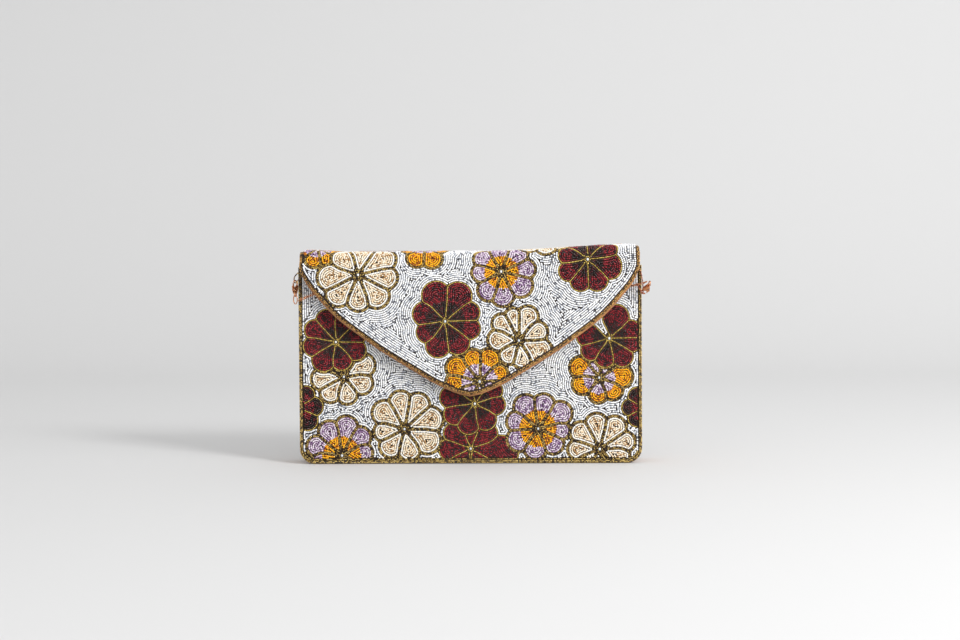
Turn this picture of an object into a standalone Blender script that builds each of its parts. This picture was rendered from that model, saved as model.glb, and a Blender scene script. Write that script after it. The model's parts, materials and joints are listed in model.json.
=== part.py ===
"""A beaded envelope clutch: a stiffened wedge body, a fold-over flap, a magnetic snap and a stowed chain.

Metres, +Z up. The front faces -Y. The origin is below the middle of the bag, on the surface it stands on.
"""

from math import asin, atan, ceil, cos, pi, radians, sin

import bmesh
import bpy
from mathutils import Matrix, Vector

MM = 0.001
GAP = 0.3 * MM

# Body
WIDTH = 254 * MM
HEIGHT = 159 * MM
BASE_DEPTH = 30 * MM
TOP_DEPTH = 22 * MM
BOTTOM_CORNER = 11 * MM
MOUTH_HEIGHT = 146 * MM

# Layers of every stiff wall, as depths below its outer surface
LAYERS = {
    "beadwork": (0.0 * MM, 1.6 * MM),
    "cloth": (1.9 * MM, 2.4 * MM),
    "board": (2.7 * MM, 3.5 * MM),
    "lining": (5.1 * MM, 5.5 * MM),
}
WALL = LAYERS["lining"][1]

# Piping along the seams
PIPING_RADIUS = 1.3 * MM
PIPING_DEPTH = 1.0 * MM
MOUTH_PIPING_RADIUS = 1.1 * MM
EDGE_INSET = 2 * PIPING_RADIUS + GAP

# Flap
FLAP_GAP = 3.8 * MM
FLAP_PROUD = FLAP_GAP + WALL
FOLD_RADIUS = 7 * MM
FLAP_TIP = 51.5 * MM
FLAP_HALF_WIDTH = 125 * MM
FLAP_EDGE = [Vector((x * MM, z * MM)) for x, z in (
    (125, 152), (125, 144), (119.5, 134.5), (113.5, 127), (98, 110), (76, 93),
    (61, 82.5), (38, 68.5), (25, 60.8), (10, 54), (0, 51.5))]

# Side and bottom strip
GUSSET_HALF_WIDTH = 126 * MM
GUSSET_THICKNESS = 0.8 * MM
GUSSET_FOLD = 9 * MM
GUSSET_FOLD_START = 20 * MM
BASE_BOARD = (226 * MM, 1.0 * MM)
GUSSET_LINING_THICKNESS = 0.4 * MM

# Slip pocket on the back lining
POCKET_SIZE = (112 * MM, 70 * MM)
POCKET_CENTRE = (24 * MM, 96 * MM)
POCKET_THICKNESS = 0.5 * MM

# Magnetic snap
SNAP_HEIGHT = 74 * MM
SNAP_RADIUS = 8 * MM
SNAP_SHEET = 0.5 * MM
POST_RADIUS = 2.4 * MM
CASE_HOLE = 3.0 * MM
PRONG_OFFSET = 4.2 * MM
PRONG = (0.4 * MM, 2.0 * MM)
WASHER_THICKNESS = 0.4 * MM

# Clasps and their rings, in a frame whose origin is the centre of the hook's ring
HOOK_RADIUS = 2.2 * MM
HOOK_WIRE = 0.55 * MM
CLASP_THICKNESS = 2.2 * MM
EYE_DROP = 8.3 * MM
EYE_RADIUS = 1.15 * MM
EYE_WIRE = 0.42 * MM
LEVER_PIVOT = Vector((1.3 * MM, 0, -4.6 * MM))
LEVER_THICKNESS = 0.7 * MM
SLOT_WIDTH = 1.3 * MM
PIN_RADIUS = 0.35 * MM
PIN_HOLE = 0.65 * MM
RING_WIRE = 0.4 * MM
LOOP_WIRE = 0.5 * MM
LOOP_SEAT_ANGLE = radians(125)

# Chain
CHAIN_RADIUS = 1.2 * MM
CHAIN_STEP = 6.0 * MM
COIL_RADIUS = 14 * MM
COIL_THICKNESS = 4.1 * MM
COIL_CENTRE_X = -78 * MM


def half_depth(z):
    """Half of the body's depth at a height."""
    return BASE_DEPTH / 2 - (BASE_DEPTH - TOP_DEPTH) / 2 * z / HEIGHT


TILT = atan((BASE_DEPTH - TOP_DEPTH) / 2 / HEIGHT)
FRONT_REACH = half_depth(FLAP_TIP) + FLAP_PROUD
BACK_REACH = half_depth(0) + PIPING_RADIUS - PIPING_DEPTH
CENTRE_Y = (FRONT_REACH - BACK_REACH) / 2


def front_y(z, depth):
    """Y of a point at a depth behind the front wall's outer surface."""
    return CENTRE_Y - half_depth(z) + depth


def back_y(z, depth):
    """Y of a point at a depth in front of the back wall's outer surface."""
    return CENTRE_Y + half_depth(z) - depth


# ---------------------------------------------------------------- scene, materials and small helpers

def clear_scene():
    for thing in list(bpy.data.objects):
        bpy.data.objects.remove(thing, do_unlink=True)


def new_collection(name):
    collection = bpy.data.collections.new(name)
    bpy.context.scene.collection.children.link(collection)
    return collection


def material(name, colour, roughness, metallic=0.0):
    made = bpy.data.materials.get(name)
    if made is None:
        made = bpy.data.materials.new(name)
        made.use_nodes = True
        shader = made.node_tree.nodes["Principled BSDF"]
        shader.inputs["Base Color"].default_value = (*colour, 1.0)
        shader.inputs["Roughness"].default_value = roughness
        shader.inputs["Metallic"].default_value = metallic
    return made


def silver_beads():
    return material("silver_beads", (0.72, 0.75, 0.79), 0.3)


def gold_beads():
    return material("gold_beads", (0.28, 0.18, 0.06), 0.3, 0.6)


def backing_cloth():
    return material("backing_cloth", (0.30, 0.29, 0.30), 0.9)


def stiff_board():
    return material("stiff_board", (0.45, 0.36, 0.26), 0.9)


def satin():
    return material("tan_satin", (0.42, 0.24, 0.11), 0.45)


def brass():
    return material("brass", (0.62, 0.40, 0.16), 0.25, 1.0)


def steel():
    return material("steel", (0.55, 0.55, 0.55), 0.35, 1.0)


def rose_gold():
    return material("rose_gold", (0.66, 0.38, 0.22), 0.25, 1.0)


def magnet():
    return material("magnet", (0.20, 0.20, 0.22), 0.5, 0.8)


def link(thing, look, parent=None):
    """Puts an object in the bag's collection, with its material and its parent."""
    BAG.objects.link(thing)
    thing.data.materials.append(look)
    if parent is not None:
        thing.parent = parent
    return thing


def mesh_object(name, bm, look, parent=None):
    bmesh.ops.recalc_face_normals(bm, faces=bm.faces)
    data = bpy.data.meshes.new(name)
    bm.to_mesh(data)
    bm.free()
    return link(bpy.data.objects.new(name, data), look, parent)


def empty(name, place):
    thing = bpy.data.objects.new(name, None)
    thing.empty_display_size = 5 * MM
    thing.matrix_world = place
    BAG.objects.link(thing)
    return thing


def set_origin(thing, point):
    """Moves a mesh object's origin to a point without moving its shape."""
    thing.data.transform(Matrix.Translation(-point))
    thing.location = point


def loft(name, rings, look):
    """A closed solid through rings that have the same number of points."""
    bm = bmesh.new()
    rows = [[bm.verts.new(point) for point in ring] for ring in rings]
    count = len(rows[0])
    for row, following in zip(rows, rows[1:]):
        for i in range(count):
            j = (i + 1) % count
            bm.faces.new((row[i], row[j], following[j], following[i]))
    bm.faces.new(rows[0])
    bm.faces.new(rows[-1])
    bmesh.ops.triangulate(bm, faces=bm.faces, quad_method="SHORT_EDGE")
    return mesh_object(name, bm, look)


def tube(name, points, radius, look, parent=None, cyclic=False, sides=8):
    """A round tube along points; open tubes are capped."""
    curve = bpy.data.curves.new(name, "CURVE")
    curve.dimensions = "3D"
    curve.bevel_depth = radius
    curve.bevel_resolution = (sides - 4) // 2
    curve.use_fill_caps = not cyclic
    curve.render_resolution_u = 0
    spline = curve.splines.new("POLY")
    spline.points.add(len(points) - 1)
    for target, point in zip(spline.points, points):
        target.co = (*point, 1.0)
    spline.use_cyclic_u = cyclic
    return link(bpy.data.objects.new(name, curve), look, parent)


def plate(name, outlines, thickness, look, parent=None):
    """A flat plate in its own XY plane; outlines after the first are holes."""
    curve = bpy.data.curves.new(name, "CURVE")
    curve.dimensions = "2D"
    curve.fill_mode = "BOTH"
    curve.extrude = thickness / 2
    curve.render_resolution_u = 0
    for outline in outlines:
        spline = curve.splines.new("POLY")
        spline.points.add(len(outline) - 1)
        for target, (x, y) in zip(spline.points, outline):
            target.co = (x, y, 0.0, 1.0)
        spline.use_cyclic_u = True
    return link(bpy.data.objects.new(name, curve), look, parent)


def circle(radius, count=24, centre=(0.0, 0.0)):
    steps = [2 * pi * i / count for i in range(count)]
    return [(centre[0] + radius * cos(a), centre[1] + radius * sin(a)) for a in steps]


def rectangle(width, height, centre=(0.0, 0.0)):
    corners = ((-1, -1), (1, -1), (1, 1), (-1, 1))
    return [(centre[0] + i * width / 2, centre[1] + j * height / 2) for i, j in corners]


def cylinder(name, radius, low, high, look, parent=None, axis="Z", centre=(0, 0, 0), count=24):
    """A cylinder from low to high along one axis of its parent's frame, through a centre."""
    turn = {"Z": Matrix.Identity(4), "Y": Matrix.Rotation(radians(90), 4, "X")}[axis]
    middle = (low + high) / 2
    shift = Vector((0, 0, middle)) if axis == "Z" else Vector((0, middle, 0))
    bm = bmesh.new()
    bmesh.ops.create_cone(bm, cap_ends=True, segments=count, radius1=radius, radius2=radius,
                          depth=high - low, matrix=Matrix.Translation(Vector(centre) + shift) @ turn)
    return mesh_object(name, bm, look, parent)


def box(name, low, high, look, parent=None):
    """A box between two corners of its parent's frame."""
    low, high = Vector(low), Vector(high)
    bm = bmesh.new()
    bmesh.ops.create_cube(bm, size=1.0)
    for corner in bm.verts:
        corner.co = Vector(low[i] + (corner.co[i] + 0.5) * (high[i] - low[i]) for i in range(3))
    return mesh_object(name, bm, look, parent)


def as_mesh(thing):
    """Replaces a curve object by a mesh object whose caps are joined to its tube."""
    bpy.context.view_layer.update()
    graph = bpy.context.evaluated_depsgraph_get()
    data = bpy.data.meshes.new_from_object(thing.evaluated_get(graph))
    bm = bmesh.new()
    bm.from_mesh(data)
    bmesh.ops.remove_doubles(bm, verts=bm.verts, dist=0.001 * MM)
    bm.to_mesh(data)
    bm.free()
    name, parent, place = thing.name, thing.parent, thing.matrix_basis.copy()
    bpy.data.objects.remove(thing, do_unlink=True)
    made = bpy.data.objects.new(name, data)
    made.parent = parent
    made.matrix_basis = place
    BAG.objects.link(made)
    return made


def boolean(target, other, operation):
    """Cuts other from target or joins it to target; other becomes a hidden cutter."""
    step = target.modifiers.new(f"{operation.lower()}_{other.name}", "BOOLEAN")
    step.object = other
    step.operation = operation
    step.solver = "EXACT"
    BAG.objects.unlink(other)
    CUTTERS.objects.link(other)
    other.hide_render = True
    other.display_type = "WIRE"


def smooth_route(points, spacing):
    """Evenly spaced points on a smooth curve through the route's own points."""
    points = [Vector(p) for p in points]
    ends = [2 * points[0] - points[1]] + points + [2 * points[-1] - points[-2]]
    fine = []
    for a, b, c, d in zip(ends, ends[1:], ends[2:], ends[3:]):
        for i in range(24):
            t = i / 24
            fine.append(0.5 * (2 * b + (c - a) * t + (2 * a - 5 * b + 4 * c - d) * t ** 2
                               + (3 * b - a - 3 * c + d) * t ** 3))
    fine.append(points[-1])
    lengths = [0.0]
    for p, q in zip(fine, fine[1:]):
        lengths.append(lengths[-1] + (q - p).length)
    count = max(2, ceil(lengths[-1] / spacing))
    route, at = [], 0
    for i in range(count + 1):
        wanted = lengths[-1] * i / count
        while at < len(fine) - 2 and lengths[at + 1] < wanted:
            at += 1
        share = (wanted - lengths[at]) / (lengths[at + 1] - lengths[at])
        route.append(fine[at].lerp(fine[at + 1], min(max(share, 0.0), 1.0)))
    return route


# ---------------------------------------------------------------- stiff walls

class Station:
    """One line across a wall: a point of its outer surface in YZ, the outward normal and the half width."""

    def __init__(self, y, z, normal, half_width):
        self.y = y
        self.z = z
        self.normal = normal
        self.half_width = half_width

    def across(self, side, depth):
        y = self.y - self.normal[0] * depth
        z = self.z - self.normal[1] * depth
        return Vector((side * self.half_width, y, z))

    def ring(self, top, bottom):
        return [self.across(-1, top), self.across(1, top), self.across(1, bottom), self.across(-1, bottom)]


def rounded_bottom(half_width, bottom, radius, steps=5):
    """Heights and half widths up a rounded bottom corner."""
    for i in range(steps + 1):
        angle = radians(90) * i / steps
        yield bottom + radius * (1 - cos(angle)), half_width - radius * (1 - sin(angle))


def wall_outline(top):
    """Heights and half widths of a body wall's layers, from the bottom to a top height."""
    inset_radius = BOTTOM_CORNER - EDGE_INSET
    outline = list(rounded_bottom(WIDTH / 2 - EDGE_INSET, EDGE_INSET, inset_radius))
    return outline + [(top, WIDTH / 2 - EDGE_INSET)]


def fold_centre(side):
    """Centre, in YZ, of the fold's rounded corner: side +1 is at the back, -1 at the flap."""
    z = HEIGHT - FOLD_RADIUS
    reach = half_depth(z) + (FLAP_PROUD if side < 0 else 0.0) - FOLD_RADIUS / cos(TILT)
    return CENTRE_Y + side * reach, z


def fold_angle(side):
    """Angle, from +Y towards +Z, at which a rounded corner meets its flat wall."""
    return TILT if side > 0 else pi - TILT


def fold_middle(side):
    return (fold_angle(side) + radians(90)) / 2


def fold_hinge(side):
    """The hinge axis of a soft corner: the middle of its outer surface."""
    y, z = fold_centre(side)
    middle = fold_middle(side)
    return Vector((0, y + FOLD_RADIUS * cos(middle), z + FOLD_RADIUS * sin(middle)))


def fold_stations(side, start, end, half_widths, steps=4):
    """Stations along a rounded corner, between two angles."""
    y, z = fold_centre(side)
    made = []
    for i in range(steps + 1):
        share = i / steps
        angle = start + (end - start) * share
        normal = (cos(angle), sin(angle))
        half_width = half_widths[0] + (half_widths[1] - half_widths[0]) * share
        made.append(Station(y + FOLD_RADIUS * normal[0], z + FOLD_RADIUS * normal[1], normal, half_width))
    return made


def parting(layer):
    """Half of the angle left open between two layers that meet at a hinge."""
    return asin(GAP / 2 / (FOLD_RADIUS - LAYERS[layer][1]))


def inset_edge(distance):
    """The flap's edge moved inwards by a distance, in X and Z, for the right-hand half."""
    moved = []
    for i, point in enumerate(FLAP_EDGE):
        before = FLAP_EDGE[max(i - 1, 0)]
        mirrored = Vector((-FLAP_EDGE[-2].x, FLAP_EDGE[-2].y))
        after = FLAP_EDGE[i + 1] if i + 1 < len(FLAP_EDGE) else mirrored
        first = (point - before).normalized() if i else (after - point).normalized()
        second = (after - point).normalized()
        along = (first + second).normalized()
        inwards = Vector((along.y, -along.x))
        moved.append(point + inwards * distance / max(first.dot(along), 0.5))
    return moved


WALL_HALF_WIDTH = WIDTH / 2 - EDGE_INSET
FLAP_LAYER_HALF_WIDTH = FLAP_HALF_WIDTH - EDGE_INSET


def front_stations(layer):
    normal = (-cos(TILT), sin(TILT))
    return [Station(front_y(z, 0), z, normal, w) for z, w in wall_outline(MOUTH_HEIGHT)]


def back_stations(layer):
    normal = (cos(TILT), sin(TILT))
    meet = fold_centre(1)[1] + FOLD_RADIUS * sin(TILT)
    straight = [Station(back_y(z, 0), z, normal, w) for z, w in wall_outline(meet)]
    widths = (WALL_HALF_WIDTH, FLAP_LAYER_HALF_WIDTH)
    corner = fold_stations(1, fold_angle(1), fold_middle(1) - parting(layer), widths)
    return straight + corner[1:]


def spine_stations(layer):
    widths = (FLAP_LAYER_HALF_WIDTH, FLAP_LAYER_HALF_WIDTH)
    back = fold_stations(1, fold_middle(1) + parting(layer), radians(90), widths)
    front = fold_stations(-1, radians(90), fold_middle(-1) - parting(layer), widths)
    return back + front


def flap_stations(layer):
    widths = (FLAP_LAYER_HALF_WIDTH, FLAP_LAYER_HALF_WIDTH)
    corner = fold_stations(-1, fold_middle(-1) + parting(layer), fold_angle(-1), widths)
    normal = (-cos(TILT), sin(TILT))
    edge = [(point.y, max(point.x, 0.6 * MM)) for point in inset_edge(EDGE_INSET)[1:]]
    return corner + [Station(front_y(z, -FLAP_PROUD), z, normal, w) for z, w in edge]


def layer_solid(wall, layer, stations, look):
    rings = [station.ring(*LAYERS[layer]) for station in stations(layer)]
    return loft(f"{wall}_{layer}", rings, look)


def build_walls():
    """The layers of the front, the back, the spine and the flap, keyed by name."""
    walls = {
        "front": (front_stations, ("beadwork", "cloth", "board", "lining"), None),
        "back": (back_stations, ("beadwork", "cloth", "board", "lining"), None),
        "spine": (spine_stations, ("beadwork", "cloth", "lining"), fold_hinge(1)),
        "flap": (flap_stations, ("beadwork", "cloth", "board", "lining"), fold_hinge(-1)),
    }
    looks = {"beadwork": silver_beads, "cloth": backing_cloth, "board": stiff_board, "lining": satin}
    made = {}
    for wall, (stations, layers, hinge) in walls.items():
        for layer in layers:
            solid = layer_solid(wall, layer, stations, looks[layer]())
            if hinge is not None:
                set_origin(solid, hinge)
            made[solid.name] = solid
    return made


# ---------------------------------------------------------------- sides, bottom and seams

def seam_outline(half_width, bottom, radius, top):
    """A U-shaped line in XZ from the top left, round the bottom corners, to the top right."""
    right = list(rounded_bottom(half_width, bottom, radius, 6)) + [(GUSSET_FOLD_START, half_width)]
    right = right + [((top + GUSSET_FOLD_START) / 2, half_width), (top, half_width)]
    left = [Vector((-w, z)) for z, w in reversed(right)]
    return left + [Vector((w, z)) for z, w in right]


def inward_normals(line):
    normals = []
    for i, point in enumerate(line):
        before = line[max(i - 1, 0)]
        after = line[min(i + 1, len(line) - 1)]
        along = (after - before).normalized()
        normals.append(Vector((-along.y, along.x)))
    return normals


def fold_depth(z):
    share = (z - GUSSET_FOLD_START) / (MOUTH_HEIGHT - GUSSET_FOLD_START)
    return GUSSET_FOLD * min(max(share, 0.0), 1.0)


def strip(name, first_depth, insets, thickness, look):
    """A folded strip between the front and the back; insets are its offsets at the sides and the bottom."""
    line = seam_outline(GUSSET_HALF_WIDTH, 0.0, BOTTOM_CORNER, MOUTH_HEIGHT)
    rings = []
    for point, normal in zip(line, inward_normals(line)):
        inset = insets[0] + (insets[1] - insets[0]) * max(normal.y, 0.0)
        fold = fold_depth(point.y)
        z = point.y
        depths = ((first_depth, 0.0), (WALL + 1.0 * MM, 0.0))
        ys = [front_y(z, d) for d, _ in depths] + [CENTRE_Y] + [back_y(z, d) for d, _ in reversed(depths)]
        folds = [0.0, 0.0, fold, 0.0, 0.0]
        outer = [point + normal * (inset + f) for f in folds]
        inner = [point + normal * (inset + f + thickness) for f in folds]
        ring = [Vector((p.x, y, p.y)) for p, y in zip(outer, ys)]
        ring += [Vector((p.x, y, p.y)) for p, y in zip(reversed(inner), reversed(ys))]
        rings.append(ring)
    return loft(name, rings, look)


def build_strips():
    edge = PIPING_DEPTH + PIPING_RADIUS + GAP
    strip("gusset", edge, (0.0, 0.0), GUSSET_THICKNESS, satin())
    side_inset = GUSSET_THICKNESS + GAP
    bottom_inset = side_inset + BASE_BOARD[1] + GAP
    strip("gusset_lining", WALL + GAP, (side_inset, bottom_inset), GUSSET_LINING_THICKNESS, satin())
    low = GUSSET_THICKNESS + GAP
    half_length = BASE_BOARD[0] / 2
    high = low + BASE_BOARD[1]
    box("base_board", (-half_length, front_y(high, edge + GAP), low),
        (half_length, back_y(high, edge + GAP), high), stiff_board())


def piping_line():
    inset = PIPING_RADIUS
    return seam_outline(WIDTH / 2 - inset, inset + 0.2 * MM, BOTTOM_CORNER - inset, MOUTH_HEIGHT)


def build_body_piping():
    line = piping_line()
    tube("front_piping", [(p.x, front_y(p.y, PIPING_DEPTH), p.y) for p in line], PIPING_RADIUS, gold_beads())
    half = MOUTH_HEIGHT + MOUTH_PIPING_RADIUS + GAP
    ends = [(side * WALL_HALF_WIDTH, front_y(half, WALL / 2), half) for side in (-1, 1)]
    tube("mouth_piping", ends, MOUTH_PIPING_RADIUS, gold_beads())
    gap = asin(GAP / 2 / (FOLD_RADIUS - PIPING_DEPTH))
    widths = (WIDTH / 2 - PIPING_RADIUS, FLAP_HALF_WIDTH - PIPING_RADIUS)
    corner = fold_stations(1, fold_angle(1), fold_middle(1) - gap, widths)
    right = [station.across(1, PIPING_DEPTH) for station in corner]
    left = [station.across(-1, PIPING_DEPTH) for station in reversed(corner)]
    body = [Vector((p.x, back_y(p.y, PIPING_DEPTH), p.y)) for p in line[1:-1]]
    tube("back_piping", left + body + right, PIPING_RADIUS, gold_beads())


def build_flap_piping():
    """The piping along the flap's edge and across the two ends of the spine."""
    depth = WALL / 2
    gap = asin(GAP / 2 / (FOLD_RADIUS - depth - PIPING_RADIUS))
    half_width = FLAP_HALF_WIDTH - PIPING_RADIUS
    widths = (half_width, half_width)
    corner = fold_stations(-1, fold_middle(-1) + gap, fold_angle(-1), widths)
    right = [station.across(1, depth) for station in corner]
    edge = inset_edge(PIPING_RADIUS)
    right += [Vector((p.x, front_y(p.y, depth - FLAP_PROUD), p.y)) for p in edge[1:]]
    left = [Vector((-p.x, p.y, p.z)) for p in reversed(right[:-1])]
    tube("flap_piping", right + left, PIPING_RADIUS, gold_beads())
    back = fold_stations(1, fold_middle(1) + gap, radians(90), widths)
    front = fold_stations(-1, radians(90), fold_middle(-1) - gap, widths)
    for name, side in (("spine_piping_left", -1), ("spine_piping_right", 1)):
        line = [station.across(side, depth) for station in back + front]
        tube(name, line, PIPING_RADIUS, gold_beads())


def build_pocket():
    x, z = POCKET_CENTRE
    pocket = plate("slip_pocket", [rectangle(*POCKET_SIZE)], POCKET_THICKNESS, satin())
    pocket.location = (x, back_y(z, WALL + GAP + POCKET_THICKNESS / 2), z)
    pocket.rotation_euler = (radians(90) + TILT, 0, 0)


# ---------------------------------------------------------------- magnetic snap

def snap_frame():
    """A frame on the front wall's outer surface: X across, Y up the wall, Z out of it."""
    place = Vector((0, front_y(SNAP_HEIGHT, 0), SNAP_HEIGHT))
    return empty("snap_axis", Matrix.Translation(place) @ Matrix.Rotation(radians(90) - TILT, 4, "X"))


def add_prongs(target, frame, start, bend, direction):
    """Joins two bent prongs to a plate: start is the plate, bend the height where they turn outwards."""
    thickness, width = PRONG
    for side, name in ((-1, "left"), (1, "right")):
        near = side * (PRONG_OFFSET - thickness / 2)
        far = side * (PRONG_OFFSET + thickness / 2)
        tip = side * (PRONG_OFFSET + 2.6 * MM)
        legs = sorted((start, bend + direction * thickness))
        feet = sorted((bend, bend + direction * thickness))
        leg = box(f"{target.name}_{name}_leg", (min(near, far), -width / 2, legs[0]),
                  (max(near, far), width / 2, legs[1]), steel(), frame)
        foot = box(f"{target.name}_{name}_foot", (min(near, tip), -width / 2 + 0.1 * MM, feet[0]),
                   (max(near, tip), width / 2 - 0.1 * MM, feet[1]), steel(), frame)
        boolean(target, leg, "UNION")
        boolean(target, foot, "UNION")


def cut_prong_slots(target, frame, low, high):
    slot = (PRONG[0] + 2 * GAP + 0.2 * MM, PRONG[1] + 2 * GAP + 0.2 * MM)
    for side, name in ((-1, "left"), (1, "right")):
        x = side * PRONG_OFFSET
        cutter = box(f"{target.name}_{name}_slot", (x - slot[0] / 2, -slot[1] / 2, low),
                     (x + slot[0] / 2, slot[1] / 2, high), steel(), frame)
        boolean(target, cutter, "DIFFERENCE")


def snap_washer(name, height, frame):
    slot = (PRONG[0] + 2 * GAP + 0.1 * MM, PRONG[1] + 2 * GAP + 0.1 * MM)
    slots = [rectangle(*slot, centre=(side * PRONG_OFFSET, 0.0)) for side in (-1, 1)]
    washer = plate(name, [circle(SNAP_RADIUS - 0.6 * MM), circle(1.6 * MM, 12)] + slots,
                   WASHER_THICKNESS, steel(), frame)
    washer.location = (0, 0, height)


def socket_case(frame):
    """The brass cup over the magnet, turned about the snap's axis."""
    front = FLAP_GAP - 1.4 * MM
    rear = -0.8 * MM
    wall = 0.7 * MM
    profile = [(CASE_HOLE, front), (SNAP_RADIUS, front), (SNAP_RADIUS, rear), (SNAP_RADIUS - wall, rear),
               (SNAP_RADIUS - wall, front - SNAP_SHEET), (CASE_HOLE, front - SNAP_SHEET)]
    bm = bmesh.new()
    corners = [bm.verts.new((r, 0, z)) for r, z in profile]
    for a, b in zip(corners, corners[1:] + corners[:1]):
        bm.edges.new((a, b))
    data = bpy.data.meshes.new("snap_socket_case")
    bm.to_mesh(data)
    bm.free()
    case = link(bpy.data.objects.new("snap_socket_case", data), brass(), frame)
    turn = case.modifiers.new("turn", "SCREW")
    turn.steps = 32
    turn.render_steps = 32
    turn.use_merge_vertices = True
    turn.merge_threshold = 0.01 * MM


def build_snap(walls):
    frame = snap_frame()
    well = cylinder("snap_well", SNAP_RADIUS + 0.8 * MM, -1.8 * MM, 0.5 * MM, steel(), frame)
    boolean(walls["front_beadwork"], well, "DIFFERENCE")
    cut_prong_slots(walls["front_cloth"], frame, -2.6 * MM, -1.7 * MM)
    cut_prong_slots(walls["front_board"], frame, -4.0 * MM, -2.5 * MM)
    socket_case(frame)
    inner, outer = CASE_HOLE + 0.4 * MM, SNAP_RADIUS - 1.0 * MM
    body = plate("snap_magnet", [circle(outer), circle(inner, 16)], 2.4 * MM, magnet(), frame)
    body.location = (0, 0, 0.4 * MM)
    back = cylinder("snap_socket_plate", SNAP_RADIUS, -1.6 * MM, -1.1 * MM, brass(), frame)
    add_prongs(back, frame, -1.3 * MM, -4.5 * MM, -1)
    snap_washer("snap_socket_washer", -4.0 * MM, frame)
    flange = FLAP_GAP - GAP
    stud = cylinder("snap_stud", SNAP_RADIUS, flange - 0.7 * MM, flange, brass(), frame)
    post = cylinder("snap_post", POST_RADIUS, 0.9 * MM, flange - 0.3 * MM, brass(), frame, count=16)
    boolean(stud, post, "UNION")
    lining = FLAP_PROUD - LAYERS["lining"][1]
    add_prongs(stud, frame, flange - 0.2 * MM, lining + 1.4 * MM, 1)
    snap_washer("snap_stud_washer", lining + 0.9 * MM, frame)
    cut_prong_slots(walls["flap_lining"], frame, lining - 0.2 * MM, lining + 0.6 * MM)


# ---------------------------------------------------------------- clasps, rings and loops

class Side:
    """Where one side's clasp hangs: its ring's centre, its length direction and its width direction."""

    def __init__(self, name, centre, along, width_hint, ring_half_height, ring_turn, loop_before, loop_after):
        self.name = name
        self.centre = Vector(centre)
        self.along = Vector(along).normalized()
        hint = Vector(width_hint)
        self.width = (hint - self.along * hint.dot(self.along)).normalized()
        self.across = self.along.cross(self.width)
        self.ring_half_height = ring_half_height
        self.ring_turn = ring_turn
        self.loop_before = loop_before
        self.loop_after = loop_after

    def matrix(self):
        axes = Matrix((self.width, -self.across, -self.along)).transposed().to_4x4()
        return Matrix.Translation(self.centre) @ axes

    def seat(self):
        """Where the loop's cord lies in the hook, in the clasp's own frame."""
        reach = HOOK_RADIUS - HOOK_WIRE - LOOP_WIRE - GAP
        return Vector((reach * cos(LOOP_SEAT_ANGLE), 0, reach * sin(LOOP_SEAT_ANGLE)))

    def world(self, point):
        return self.matrix() @ Vector(point)


def at_front(x, z, depth):
    return Vector((x * MM, front_y(z * MM, depth * MM), z * MM))


def clasp_sides():
    left = Side("left", at_front(-128.5, 134.2, -3.7), (0, 0, -1), (-0.57, -0.82, 0), 3.4 * MM, 0.0,
                [at_front(-123.2, 143.2, -0.9), at_front(-126.0, 142.4, -1.6), at_front(-129.2, 139.0, -1.8)],
                [at_front(-126.4, 136.4, -5.4), at_front(-124.6, 138.6, -3.0), at_front(-123.0, 139.6, -0.9)])
    right = Side("right", at_front(128.3, 126.8, -3.9), (0.36, -0.70, 0.62), (1, 0, 0), 1.7 * MM, radians(60),
                 [at_front(123.0, 144.2, -0.9), at_front(125.6, 142.0, -1.6), at_front(127.3, 134.5, -1.9)],
                 [at_front(126.5, 126.4, -6.6), at_front(124.6, 130.0, -4.2), at_front(122.6, 132.6, -0.9)])
    return left, right


def clasp_body(side, frame):
    """A hooked ring, a tapered trunk with a slot for the lever, and an eye."""
    arc = [radians(44 + (292 - 44) * i / 16) for i in range(17)]
    points = [(HOOK_RADIUS * cos(a), 0, HOOK_RADIUS * sin(a)) for a in arc]
    hook = as_mesh(tube(f"{side.name}_hook", points, HOOK_WIRE, rose_gold(), frame))
    trunk_outline = [(-2.3, -1.4), (-0.6, -2.3), (2.1, -2.6), (2.3, -4.6), (1.1, -7.4), (-0.9, -7.4), (-2.2, -4.2)]
    outline = [(x * MM, z * MM) for x, z in reversed(trunk_outline)]
    trunk = plate(f"{side.name}_clasp_body", [outline], CLASP_THICKNESS, rose_gold(), frame)
    trunk.rotation_euler = (radians(90), 0, 0)
    body = as_mesh(trunk)
    eye_points = [(EYE_RADIUS * x, 0, EYE_RADIUS * z - EYE_DROP) for x, z in circle(1.0, 16)]
    eye = as_mesh(tube(f"{side.name}_eye", eye_points, EYE_WIRE, rose_gold(), frame, cyclic=True))
    boolean(body, hook, "UNION")
    boolean(body, eye, "UNION")
    slot = box(f"{side.name}_slot", (-0.4 * MM, -SLOT_WIDTH / 2, -6.4 * MM),
               (4.0 * MM, SLOT_WIDTH / 2, -1.4 * MM), steel(), frame)
    boolean(body, slot, "DIFFERENCE")
    hole = cylinder(f"{side.name}_pin_hole", PIN_HOLE, -2 * MM, 2 * MM, steel(), frame, "Y", LEVER_PIVOT, 12)
    boolean(body, hole, "DIFFERENCE")


def clasp_lever(side, frame):
    """The sprung gate of the hook, which turns on its pin."""
    x, z = LEVER_PIVOT.x, LEVER_PIVOT.z
    arm = [(2.0, 0.4), (1.55, -0.9), (1.4, -2.4), (0.3, -3.7), (0.3, -5.3), (1.3, -5.8), (2.3, -5.3),
           (2.4, -3.6), (3.1, -3.0), (3.4, -2.1), (3.0, -1.4), (2.5, -1.2), (2.6, 0.1), (2.3, 0.9)]
    outline = [(px * MM, pz * MM) for px, pz in arm]
    lever = plate(f"{side.name}_clasp_lever", [outline, circle(PIN_HOLE, 12, (x, z))], LEVER_THICKNESS,
                  rose_gold(), frame)
    lever.rotation_euler = (radians(90), 0, 0)


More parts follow.
